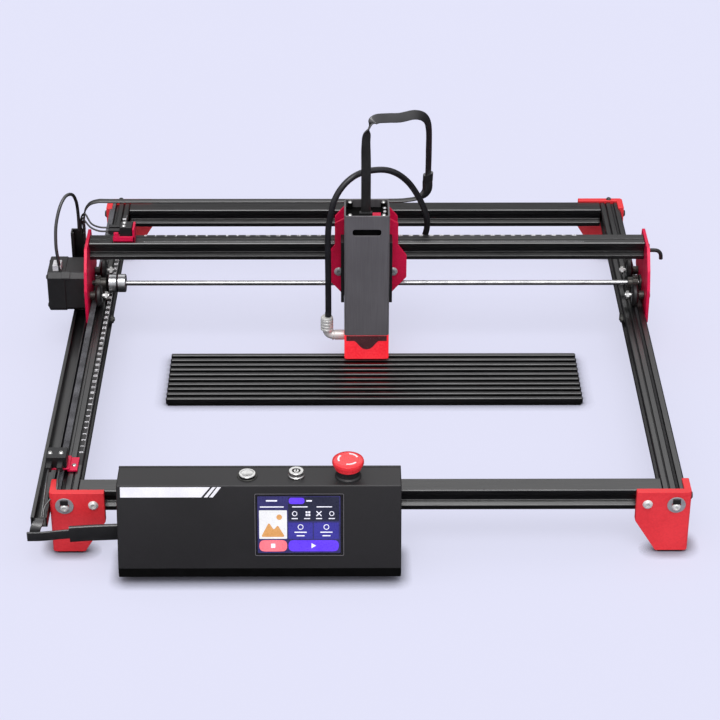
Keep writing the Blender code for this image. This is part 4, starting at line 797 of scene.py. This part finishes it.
angle = [(-247.3, 118.9), (-226.0, 118.9), (-226.0, 133.6), (-228.2, 133.6), (-228.2, 120.9), (-247.3, 120.9)]
bm = formed(slab, "Y", angle, 70.75, 87.25)
block(bm, (-247.3, 70.75, 118.9), (-226.0, 72.6, 125.2))
block(bm, (-246.4, 70.75, 124.8), (-241.6, 72.6, 129.6))
piece("beamSwitchBracket", bm, "crimsonAnodised", "gantry", 0.5,
      stands=["x_switch_bracket"])
piece("beamSwitch", formed(block, (-240.6, 73.0, 121.0), (-228.6, 86.0, 134.4)),
      "blackPlastic", "gantry", 0.8, stands=["x_limit_switch"])
bm = formedAt(screw, [(-236.6, y, 134.4) for y in (76.0, 82.8)], (0, 0, 1), 2.2, 1.2)
piece("beamSwitchScrews", bm, "platedMetal", "gantry")
plugs = (75.2, 83.2)
bm = formedAt(plug, [(-246.0, y, 129.0) for y in plugs], (11.5, 4.6, 5.0))
piece("beamSwitchPlugs", bm, "blackPlastic", "gantry", 0.8)
for i, y in enumerate(plugs):
    path = smooth([(-251, y, 129.0), (-261, y + 2, 128.4), (-270, y + 8, 129.5),
                   (-277, y + 20, 131.0 + 3 * i), (-281.5, 108, 127), (-283.0 + 2 * i, 114.5, 116),
                   (-283.0 + 2 * i, 116, 105)], 8)
    piece("beamSwitchWire" + str(i), tube(path, (0, 0, 1), 0.9, 10), "cableJacket", "gantry")
print("carrier and switches dressed")

# Console: folded and painted case
case = {"x": (-213.6, 25.5), "back": -278.3, "top": 86.96, "topY": -306.5, "lowY": -325.73, "lowZ": 16.2,
        "low": 7.0, "lean": math.radians(15.2)}
bm = bmesh.new()
slab(bm, "X", [(case["back"], case["low"]), (case["back"], case["top"]), (case["topY"], case["top"]),
               (case["lowY"], case["lowZ"]), (case["lowY"], case["low"])], *case["x"])
piece("consoleCase", bm, "consolePaint", "frame", 1.3, 3, stands=["console_shell"])
bm = formed(block, (case["x"][0], case["back"], case["low"]), (case["x"][1], -276.0, case["top"]))
piece("consoleBack", bm, "consolePaint", "frame", 0.5, stands=["console_back"])
bm = formedAt(screw, [(x, -276, z) for x in (-203, 15) for z in (15, 80)], (0, 1, 0), 3.0, 1.4)
piece("consoleBackScrews", bm, "blackOxide", "frame")
# near-black strip along the console's lower front: painted shade
bm = formed(slab, "X", [(-326.1, 7.2), (-326.1, 15.8), (-325.2, 15.8), (-325.2, 7.2)], -213.3, 25.2)
piece("consoleShadeStrip", bm, "paintedShadeBlack", "frame", 0.25)


def onPanel(x, down, out):
    s, c = math.sin(case["lean"]), math.cos(case["lean"])
    return Vector((x, case["topY"] - down * s - out * c, case["top"] - down * c + out * s))


def onFace(bm, outline, low, high):
    loft(bm, [[onPanel(x, down, out) for x, down in outline] for out in (low, high)])


def printed(name, outlines, look, low, high, stands=()):
    bm = bmesh.new()
    for outline in outlines:
        onFace(bm, outline, low, high)
    piece(name, bm, look, "frame", stands=stands)


stripe = [[(-210.2, 1.4), (-134.8, 1.4), (-142.4, 10.4), (-210.2, 10.4)],
          [(-132.9, 1.4), (-130.0, 1.4), (-137.2, 10.4), (-140.2, 10.4)],
          [(-128.8, 1.4), (-125.6, 1.4), (-132.6, 10.4), (-135.7, 10.4)]]
printed("consoleStripe", stripe, "whiteInk", -0.2, 0.12)

screen = {"left": -97.8, "top": 7.1, "width": 75.0, "height": 55.2}
sl, st = screen["left"], screen["top"]
sr, sb = sl + screen["width"], st + screen["height"]
printed("screenGlass", [roundRect(sl, st, sr, sb, 1.2)], "coverGlass", -3.0, 0.6,
        stands=["touch_screen"])
outer = roundRect(sl, st, sr, sb, 1.4)
inner = roundRect(sl + 0.5, st + 0.5, sr - 0.5, sb - 0.5, 1.0)
rims = ((outer, -0.2), (outer, 0.9), (inner, 0.9), (inner, -0.2))
bm = formed(loft, [[onPanel(x, d, o) for x, d in ring] for ring, o in rims], True)
piece("screenBezel", bm, "gunmetal", "frame")


def row(v):
    return st + 0.4 + 1.04 * v


def at(u0, v0, u1, v1, radius=0.8):
    return roundRect(sl + u0, row(v0), sl + u1, row(v1), radius)


printed("displayGround", [at(2.4, 1.8, 72.0, 50.2)], "litNavy", 0.5, 0.66)
printed("displayHead", [at(28.2, 2.4, 71.0, 22.9)], "litPanel", 0.6, 0.69)
printed("displayTiles", [at(28.2, 24.2, 48.7, 38.2), at(49.6, 24.2, 70.6, 38.2)], "litBlue", 0.6, 0.71)
printed("displayPills", [at(28.7, 3.0, 41.9, 8.4, 2.6), at(28.2, 39.2, 70.6, 48.9, 4.8)], "litPurple",
        0.6, 0.73)
printed("displayStop", [at(3.7, 39.2, 27.1, 48.9, 4.8)], "litCoral", 0.6, 0.73)
printed("displayPicture", [at(3.7, 13.7, 27.1, 38.1)], "litPaper", 0.6, 0.73)
hill = [(sl + 5.2, row(36.4)), (sl + 11.8, row(24.0)), (sl + 16.0, row(30.5)), (sl + 19.2, row(26.2)),
        (sl + 25.4, row(36.4))]
printed("displayPictureSign", [filleted(hill, 1.2), circle(sl + 20.6, row(19.6), 2.4, 24)], "litAmber",
        0.7, 0.76)
marks = [at(13.5, 42.2, 17.1, 45.8, 0.4),
         [(sl + 47.6, row(41.8)), (sl + 51.4, row(44.0)), (sl + 47.6, row(46.2))]]
for u in (43.0, 45.2):
    marks += [at(u - 0.2, 14.6, u + 1.5, 16.3, 0.3), at(u - 0.2, 16.9, u + 1.5, 18.6, 0.3)]
marks += [at(4.4, 10.4, 24.5, 11.3, 0.4), at(9.5, 5.0, 19.0, 6.2, 0.5), at(43.4, 5.1, 48.2, 6.3, 0.5)]
for u in (33.6, 44.0, 54.0, 64.7):
    marks.append(at(u - 2.6, 20.4, u + 2.6, 21.2, 0.3))
for u in (38.5, 60.2):
    marks += [at(u - 5.2, 32.0, u + 5.2, 32.9, 0.4), at(u - 3.4, 35.0, u + 3.4, 35.9, 0.4)]
for u in (31.5, 52.0):
    marks.append(at(u, 10.4, u + 13.0, 11.2, 0.3))
for sign in (-1, 1):
    marks.append([(sl + 54.0 + 2.1 * a + 0.3 * b, row(16.6) + sign * 2.1 * a - 0.3 * sign * b)
                  for a, b in ((-1, 1), (1, 1), (1, -1), (-1, -1))])
printed("displayMarks", marks, "litWhite", 0.7, 0.78)
bm = bmesh.new()
for u, v, r in ((33.6, 16.6, 2.2), (64.7, 16.6, 2.1), (38.5, 28.0, 2.4), (60.2, 28.0, 2.4)):
    rings = [(r, 0.7), (r, 0.78), (r - 0.6, 0.78), (r - 0.6, 0.7)]
    loft(bm, [[onPanel(x, d, o) for x, d in circle(sl + u, row(v), radius, 28)] for radius, o in rings], True)
piece("displayRings", bm, "litWhite", "frame")

# Buttons on the console's top
buttonY = -292.0
powerAt, keyAt, stopAt = (-104.2, buttonY), (-62.9, buttonY), (-19.3, buttonY)
profile = [(3.0, 80), (3.6, 88.7), (6.6, 88.75), (7.2, 89.1), (7.2, 89.5), (6.8, 89.95), (5.6, 89.96),
           (5.3, 89.5), (4.9, 89.5), (4.6, 89.95), (3.0, 89.75), (1.0, 89.6)]
piece("powerCap", formed(turned, "Z", powerAt, profile, 40), "platedMetal", "power",
      stands=["power_button"])
profile = [(7.5, 86.9), (8.7, 86.9), (8.7, 87.4), (8.3, 87.9), (7.5, 87.9)]
piece("powerBezel", formed(turned, "Z", powerAt, profile, 40, True), "blackOxide", "frame")
profile = [(5.0, 80), (5.0, 87.3), (6.9, 87.35), (6.9, 88.3), (6.2, 88.9), (6.0, 90.6), (6.4, 91.4),
           (6.4, 92.1), (6.0, 92.45), (3.7, 92.46), (3.5, 92.0)]
piece("keyRing", formed(turned, "Z", keyAt, profile, 40), "platedMetal", "key",
      stands=["key_switch"])
# well and key slot in near-black: painted shade in the lock's hollow
bm = formed(turned, "Z", keyAt, [(3.5, 91.5), (3.5, 92.1), (2.3, 92.1), (2.3, 91.5)], 32, True)
block(bm, (-63.35, buttonY - 2.0, 91.9), (-62.45, buttonY + 2.0, 92.32))
piece("keyWell", bm, "paintedShadeBlack", "key")
profile = [(2.25, 91.5), (2.25, 92.1), (2.0, 92.28), (0.6, 92.28)]
piece("keyBarrel", formed(turned, "Z", keyAt, profile, 28), "platedMetal", "key")
profile = [(5.8, 80), (5.8, 99.9), (10.2, 100.0), (10.2, 95.4), (10.5, 95.2), (11.1, 95.2), (11.4, 95.6),
           (11.6, 98.2), (12.3, 98.9), (13.1, 99.4), (13.4, 100.2), (13.4, 101.9), (13.1, 102.9),
           (12.3, 103.5), (9.8, 103.9), (9.2, 103.85), (8.9, 103.6), (3.0, 103.8), (1.0, 103.85)]
piece("stopCap", formed(turned, "Z", stopAt, profile, 48), "redAbs", "estop",
      stands=["estop_button"])
bm = bmesh.new()
for i in range(3):
    arc = [math.radians(120 * i + 20 + 4.5 * k) for k in range(15)]
    ring = [(9.0 * math.cos(a), 9.0 * math.sin(a)) for a in arc]
    ring += [(7.4 * math.cos(a), 7.4 * math.sin(a)) for a in reversed(arc)]
    slab(bm, "Z", [(u + stopAt[0], v + buttonY) for u, v in ring], 103.5, 103.94)
piece("stopArrows", bm, "whiteInk", "estop")
profile = [(6.6, 86.9), (11.3, 86.9), (11.1, 88.0), (9.9, 89.2), (9.7, 95.0), (9.4, 95.4), (6.6, 95.4)]
piece("stopCollar", formed(turned, "Z", stopAt, profile, 48, True), "blackPlastic", "frame")
sleevePath = [p + Vector((0, 0, 1.5 + 0.02 * (p.x + 255))) for p in leadPath if p.x > -256]
sleeveSides = [Vector((0, 0, 1))] * len(sleevePath)
piece("leadSleeve", formed(sweep, sleevePath, sleeveSides, ribbonSection(*flatLead["sleeve"])), "cableJacket",
      "frame")
print("console dressed")

# Wheels: acetal tyres on ball bearings
tyre = [(7.0, 2.9), (8.3, 3.1), (8.9, 2.9), (10.7, 1.6), (11.0, 1.2), (11.0, -1.2), (10.7, -1.6), (8.9, -2.9),
        (8.3, -3.1), (7.0, -2.9)]
bearing = [(2.7, 2.5), (3.9, 2.5), (4.2, 2.2), (5.8, 2.2), (6.1, 2.5), (6.95, 2.5), (6.95, -2.5), (6.1, -2.5),
           (5.8, -2.2), (4.2, -2.2), (3.9, -2.5), (2.7, -2.5)]
driveAxle, crossAxle = (gantry["y"], gantry["axle"]), (-1.2, 91.1)
railAxles = {"front": (53.5, gantry["axle"]), "rear": (104.5, gantry["axle"]), "under": (gantry["y"], 31.9)}
carriageAxles = {"left_top": (-19.2, 128.2), "right_top": (16.8, 128.2), "left_low": (-27.7, 90.5),
                 "right_low": (25.3, 90.5)}
wheels = {}
for side, sx in bothSides:
    for name, centre in railAxles.items():
        wheels[side + "_" + name + "_wheel"] = ("X", centre, sx * 261.8)
for name, centre in carriageAxles.items():
    wheels["carriage_" + name + "_wheel"] = ("Y", centre, gantry["y"])
for node, (axis, centre, where) in wheels.items():
    for part, profile, look in (("Tyre", tyre, "wheelAcetal"), ("Bearing", bearing, "milledAluminium")):
        bm = formed(turned, axis, centre, [(r, where + w) for r, w in profile], 40, True)
        words = node.split("_")
        title = words[0] + "".join(w.capitalize() for w in words[1:]) + part
        if part == "Tyre":
            piece(title, bm, look, node + "_body", stands=[node])
        else:
            piece(title, bm, look, node + "_body")

# Gantry side plates with bolts, spacers and nuts
plateEdge = [(-24.0, 120.4), (-38.0, 102.0), (-45.0, 84.0), (-45.0, 50.0), (-12.0, 23.9), (12.0, 23.9),
             (31.0, 62.8), (45.0, 67.8), (45.0, 79.6), (24.0, 93.6), (19.0, 120.4)]
outline = filleted([(gantry["y"] + y, z) for y, z in plateEdge], 2.5)
axles = list(railAxles.values())
for side, sx in bothSides:
    piece(side + "SidePlate", formed(slab, "X", outline, *sorted((sx * 271.0, sx * 274.0))),
          "crimsonAnodised", "gantry", 0.45, stands=[side + "_plate"])
    bm = bmesh.new()
    profile = [(3.6, sx * 271.2), (4.2, sx * 270.6), (4.2, sx * 265.8), (3.4, sx * 265.2)]
    for centre in axles:
        turned(bm, "X", centre, profile, 28)
    if sx > 0:
        turned(bm, "X", driveAxle, [(7.0, 271.2), (8.0, 270.6), (8.0, 269.4), (7.4, 268.9)], 36)
    piece(side + "Spacers", bm, "blackOxide", "gantry")
    bm = bmesh.new()
    for centre in axles:
        turned(bm, "X", centre, [(2.4, sx * 259.0), (2.4, sx * 256.0)], 16)
        hexNut(bm, (sx * 256.2, *centre), (-sx, 0, 0), 4.1, 3.0, 2.4)
    piece(side + "Nuts", bm, "platedMetal", "gantry")
    bolts = [(sx * 274.0, *centre) for centre in axles + [(gantry["y"], gantry["beamZ"])]]
    bm = formedAt(screw, bolts, (sx, 0, 0), 4.3, 2.9)
    piece(side + "PlateBolts", bm, "blackOxide", "gantry")
hook = [(273, 105.0), (279, 105.6), (285, 105.0), (288.2, 101.6), (289.0, 96.0)]
hookPath = smooth([(x, gantry["y"], z) for x, z in hook], 8)
piece("sideHook", tube(hookPath, (0, 1, 0), 1.9, 16), "blackPlastic", "gantry")


# Motors: square cast ends on a laminated stack
def motorBody(bm, axis, centre, start, end):
    def ring(half, w):
        cut = half - 4.6
        corners = [(half, -cut), (half, cut), (cut, half), (-cut, half), (-half, cut), (-half, -cut),
                   (-cut, -half), (cut, -half)]
        return [spot(axis, centre[0] + u, centre[1] + v, w) for u, v in corners]
    step = start + 0.45 * (end - start)
    stack = [(20.4, start), (21.2, start + 0.8), (21.2, step), (20.6, step + 0.1), (20.6, end)]
    loft(bm, [ring(half, w) for half, w in stack])


def motorScrews(name, axis, centre, face, normal, body):
    spots = [spot(axis, centre[0] + u, centre[1] + v, face) for u in (-15.5, 15.5) for v in (-15.5, 15.5)]
    piece(name, formedAt(screw, spots, normal, 2.6, 1.4), "blackOxide", body)


bm = formed(motorBody, "X", driveAxle, -312.6, -274.3)
patch = [(57.3, 84.6), (57.3, 86.6), (62.2, 91.4), (64.0, 91.4), (64.0, 89.6), (58.8, 84.6)]
slab(bm, "X", patch, -298.6, -290.2)
piece("gantryMotor", bm, "motorLacquer", "gantry", 0.5, stands=["y_motor"])
piece("gantryMotorPlug", formed(plug, (-303.2, 71.3, 93.4), (8.2, 12.5, 6.4)), "ruleInk", "gantry", 0.5)
piece("carriageMotor", formed(motorBody, "Y", crossAxle, 94.55, 127.55), "motorLacquer", "carriage", 0.5,
      stands=["x_motor"])
motorScrews("carriageMotorScrews", "Y", crossAxle, 127.5, (0, 1, 0), "carriage")
motorScrews("gantryMotorScrews", "X", driveAxle, -312.5, (-1, 0, 0), "gantry")


# Shaft, coupling and toothed pulleys
def pulley(bm, axis, centre, low, high, radius, teeth):
    ring = []
    for i in range(teeth):
        for share, r in ((0.0, radius - 0.75), (0.3, radius - 0.75), (0.42, radius), (0.88, radius)):
            a = 2 * math.pi * (i + share) / teeth
            ring.append((centre[0] + r * math.cos(a), centre[1] + r * math.sin(a)))
    slab(bm, axis, ring, low, high)


bm = formed(turned, "X", driveAxle, [(2.2, -289.8), (2.5, -289.5), (2.5, -243.1), (2.2, -242.8)], 32)
pulley(bm, "X", driveAxle, -267.5, -262.7, 7.6, 24)
turned(bm, "X", driveAxle, [(5.0, -262.9), (5.6, -262.6), (5.6, -257.4), (5.2, -257.0)], 32)
piece("motorPulley", bm, "blackOxide", "drive", stands=["motor_pulley"])
bm = formed(pulley, "X", driveAxle, 262.7, 267.5, 7.6, 24)
turned(bm, "X", driveAxle, [(5.2, 257.7), (5.6, 258.0), (5.6, 262.6), (5.0, 262.9)], 32)
piece("rightPulley", bm, "blackOxide", "drive", stands=["right_pulley"])
bm = formed(turned, "X", driveAxle, [(2.2, -242.2), (2.5, -241.9), (2.5, 273.4), (2.2, 273.7)], 36)
piece("driveShaft", bm, "turnedSteel", "drive", stands=["drive_shaft"])
hub = [(2.6, -254.8), (8.4, -254.8), (9.0, -254.2), (9.0, -247.4), (8.6, -246.9), (7.4, -246.8),
       (7.4, -245.8), (8.6, -245.7), (9.0, -245.2), (9.0, -238.4), (8.4, -237.8), (2.6, -237.8)]
piece("coupling", formed(turned, "X", driveAxle, hub, 48, True), "milledAluminium", "drive",
      stands=["shaft_coupling"])
# near-black rings between the halves and at the motor end: the black insert, with painted shade in the gaps
insert = [(7.3, -246.65), (8.75, -246.65), (8.75, -245.95), (7.3, -245.95)]
bm = formed(turned, "X", driveAxle, insert, 40, True)
turned(bm, "X", driveAxle, [(5.6, -257), (8.6, -256.8), (8.6, -255), (5.6, -254.8)], 40, True)
piece("couplingInsert", bm, "paintedShadeBlack", "drive")
bm = bmesh.new()
for x in (-250.8, -241.8):
    for turnBy in (0.6, 0.6 + math.pi):
        out = Vector((0, math.cos(turnBy), math.sin(turnBy)))
        screw(bm, Vector((x, *driveAxle)) + out * 8.9, out, 1.6, 0.4)
piece("couplingScrews", bm, "blackOxide", "drive")
bm = formed(pulley, "Y", crossAxle, 82.25, 87.05, 7.0, 22)
turned(bm, "Y", crossAxle, [(2.4, 87.0), (2.5, 87.3), (2.5, 110.0), (2.2, 110.25)], 28)
piece("crossPulley", bm, "milledAluminium", "x_drive", stands=["x_pulley"])
print("gantry dressed")

# Carriage plates
for name, y, top, shoulder, waist in (("Front", 65.25, (-13.0, 153.4), 143.1, 119.4),
                                      ("Rear", 92.75, (-17.4, 152.4), 136.6, 114.6)):
    half = [top, (-30.7, shoulder), (-30.7, waist), (-39.2, waist - 11.8), (-39.2, 84.2), (-24.7, 67.2)]
    edge = [(x - 0.7, z) for x, z in half] + [(-x - 0.7, z) for x, z in reversed(half)]
    bm = formed(slab, "Y", filleted(edge, 1.6, 3), y - 1.5, y + 1.5)
    piece("carriage" + name + "Plate", bm, "crimsonAnodised", "carriage", 0.4,
          stands=["carriage_" + name.lower() + "_plate"])
bm = formedAt(screw, [(x, 63.75, z) for x, z in carriageAxles.values()], (0, -1, 0), 4.6, 1.8, 0.4)
piece("carriageBolts", bm, "zincPlate", "carriage")
bm = bmesh.new()
for x, z in carriageAxles.values():
    turned(bm, "Y", (x, z), [(3.6, 66.6), (4.2, 67.2), (4.2, 75.0), (3.4, 75.6)], 28)
    turned(bm, "Y", (x, z), [(3.4, 82.4), (4.2, 83.0), (4.2, 90.8), (3.6, 91.3)], 28)
    hexNut(bm, (x, 94.25, z), (0, 1, 0), 4.1, 3.0, 2.4)
piece("carriageSpacers", bm, "blackOxide", "carriage")
piece("hoseInletBlock", formed(block, (21.8, 93.0, 84.6), (30.8, 105.75, 94.6)),
      "blackPlastic", "carriage", 0.8)
profile = [(5.0, 21.3), (5.7, 21.8), (5.7, 31.0), (5.1, 31.4), (5.1, 32.6), (5.5, 33.0), (5.5, 33.8),
           (3.2, 33.8)]
piece("hoseInlet", formed(turned, "X", (105.75, 89.6), profile, 36), "platedMetal", "carriage")

# Laser head
head = {"x": -0.7, "y": 42.55, "half": (21.7, 17.0), "low": 40.1, "top": 170.1}
hw, hd = head["half"]


def headRing(inset, z, radius, back=0.0):
    outline = roundRect(head["x"] - hw + inset, head["y"] - hd + inset, head["x"] + hw - inset,
                        head["y"] + hd - inset + back, radius, 5)
    return [Vector((u, v, z)) for u, v in outline]


yoke = [(-24.9, 63.45), (-24.9, 45.9), (-21.85, 45.9), (-21.85, 59.9), (21.85, 59.9), (21.85, 45.9),
        (24.9, 45.9), (24.9, 63.45)]
bm = formed(slab, "Z", [(x + head["x"], y) for x, y in yoke], 65.6, 131.6)
piece("headMount", bm, "blackPlastic", "carriage", 0.5, stands=["head_mount"])
keep("laser_module", "milledAluminium", 0.15)
keep("fan_rotor", "blackPlastic", 0.2)
walls = [(0, head["low"], 3.4), (0, 138.5, 3.4), (0, 140.5, 3.4, 3.6), (0, head["top"], 3.4, 3.6),
         (1.8, head["top"], 1.9, 3.6), (1.8, 141.0, 1.9, 3.6), (1.8, 138.5, 1.9), (1.8, head["low"], 1.9)]
sleeve = piece("headSleeve", formed(loft, [headRing(*wall) for wall in walls], True), "gunmetal", None)
bm = formed(slab, "Y", roundRect(-14.3, 149.2, 12.9, 155.8, 2.4), 20, 32)
carve(sleeve, piece("ventCutter", bm, "paintedShadeBlack", None))
soften(sleeve, 0.4)
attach(sleeve, "head")
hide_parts("head_housing")
# deck, posts and lamp strip inside the sleeve's open top in near-black: painted shade
piece("headDeck", formed(slab, "Z", roundRect(-20.4, 27.6, 19.0, 61.2, 1.6), 159.1, 162.1), "paintedShadeBlack", "head")
bm = bmesh.new()
posts = [(-16.8, 31.2), (15.4, 31.2), (-16.8, 58.6), (15.4, 58.6)]
for x, y in posts:
    turned(bm, "Z", (x, y), [(2.6, 161.8), (2.6, 168.0), (2.2, 168.4)], 24)
piece("deckPosts", bm, "paintedShadeBlack", "head")
bm = formedAt(screw, [(x, y, 168.4) for x, y in posts], (0, 0, 1), 2.2, 1.3)
piece("deckScrews", bm, "platedMetal", "head")
bm = bmesh.new()
for y in (41.5, 49.0):
    turned(bm, "Z", (16.4, y), [(1.5, 166.6), (1.5, 167.2), (1.1, 167.8), (0.5, 168.0)], 20)
piece("deckLamps", bm, "ruleInk", "head")
piece("lampStrip", formed(block, (14.2, 37.0, 161.9), (18.6, 53.5, 166.8)), "paintedShadeBlack", "head", 0.4)
piece("deckSocket", formed(block, (4.6, 32.0, 161.9), (12.6, 41.0, 166.6)), "crimsonAnodised", "head", 0.4)
piece("deckPlug", formed(plug, (-1.6, 42.0, 164.4), (12.5, 5.0, 4.6)), "blackPlastic", "head", 0.5)
# near-black block behind the vent slot: painted shade
piece("ventShade", formed(plug, (-0.7, 30.6, 152.4), (28.0, 3.0, 8.0)), "paintedShadeBlack", "head")

# Shield: red acrylic skirt under the sleeve, with the sleeve's tongue over its front
walls = [(0, 13.8, 3.0), (0, 39.8, 3.0), (2.0, 39.8, 1.2), (2.0, 13.8, 1.2)]
piece("laserShield", formed(loft, [headRing(*wall) for wall in walls], True), "redAcrylic", "head", 0.3,
      stands=["laser_shield"])
bm = formed(slab, "Y", [(-20.4, 39.7), (19.0, 39.7), (19.0, 34.2), (-20.4, 34.2)], 25.25, 25.65)
piece("shieldBand", bm, "smokedAcrylic", "head")
tongue = [(-12.6, 34.4), (-10.2, 32.2), (-6.6, 27.6), (-3.8, 25.4), (-0.7, 24.8), (2.4, 25.4), (5.2, 27.6),
          (8.8, 32.2), (11.2, 34.4)]
piece("shieldTongue", formed(slab, "Y", tongue, 25.2, 25.7), "smokedAcrylic", "head")

# Air elbow: ribbed nickel-plated collet, bend and arm
elbow = {"x": -39.4, "y": 43.55, "z": 30.9}
bm = bmesh.new()
profile = [(3.3, 36.4), (5.0, 36.8)]
for i in range(4):
    z = 37.2 + 3.2 * i
    profile += [(5.9, z), (6.2, z + 0.3), (6.2, z + 2.0), (5.9, z + 2.3), (5.3, z + 2.4), (5.3, z + 3.1)]
profile += [(6.0, 50.2), (5.5, 51.2), (4.6, 51.6), (3.2, 51.6)]
turned(bm, "Z", (elbow["x"], elbow["y"]), profile, 40)
bendPath = [Vector((elbow["x"], elbow["y"], 40.0))]
for i in range(13):
    a = math.radians(7.5 * i)
    bendPath.append(Vector((elbow["x"] + 6 - 6 * math.cos(a), elbow["y"], elbow["z"] + 6 - 6 * math.sin(a))))
bendPath.append(Vector((-29.0, elbow["y"], elbow["z"])))
sweep(bm, bendPath, carried(bendPath, (0, 1, 0)), circle(0, 0, 4.2, 28))
arm = [(4.3, -34.4), (5.1, -34.2), (5.1, -33.0), (4.3, -32.8), (4.3, -32.1), (4.9, -31.8), (4.9, -23.0),
       (4.5, -22.4)]
turned(bm, "X", (elbow["y"], elbow["z"]), arm, 36)
piece("airElbow", bm, "satinNickel", "head", stands=["air_elbow"])
piece("hoseEnd", formed(turned, "Z", (-38.1, elbow["y"]), [(3.1, 48.0), (3.1, 56.0), (2.9, 56.4)], 28),
      "hosePolyurethane", "head")

# Work support: ten flat bars with rounded edges on a thin base
slats = {"x": (-193.5, 206.5), "front": -40.0, "pitch": 9.1, "count": 10, "crest": 4.6}
# thin base in near-black: painted shade between the bars
bm = bmesh.new()
block(bm, (slats["x"][0] + 2, slats["front"] + 1, 0.0), (slats["x"][1] - 2, slats["front"] + 90, 1.6))
piece("slatBase", bm, "paintedShadeBlack", "frame")
bm = bmesh.new()
for i in range(slats["count"]):
    y = slats["front"] + (i + 0.5) * slats["pitch"]
    block(bm, (slats["x"][0], y - slats["crest"] / 2, 0.2), (slats["x"][1], y + slats["crest"] / 2, 7.0))
piece("workSlats", bm, "anodisedAcross", "frame", 1.5, 3, stands=["work_slats"])
print("carriage, head and slats dressed")
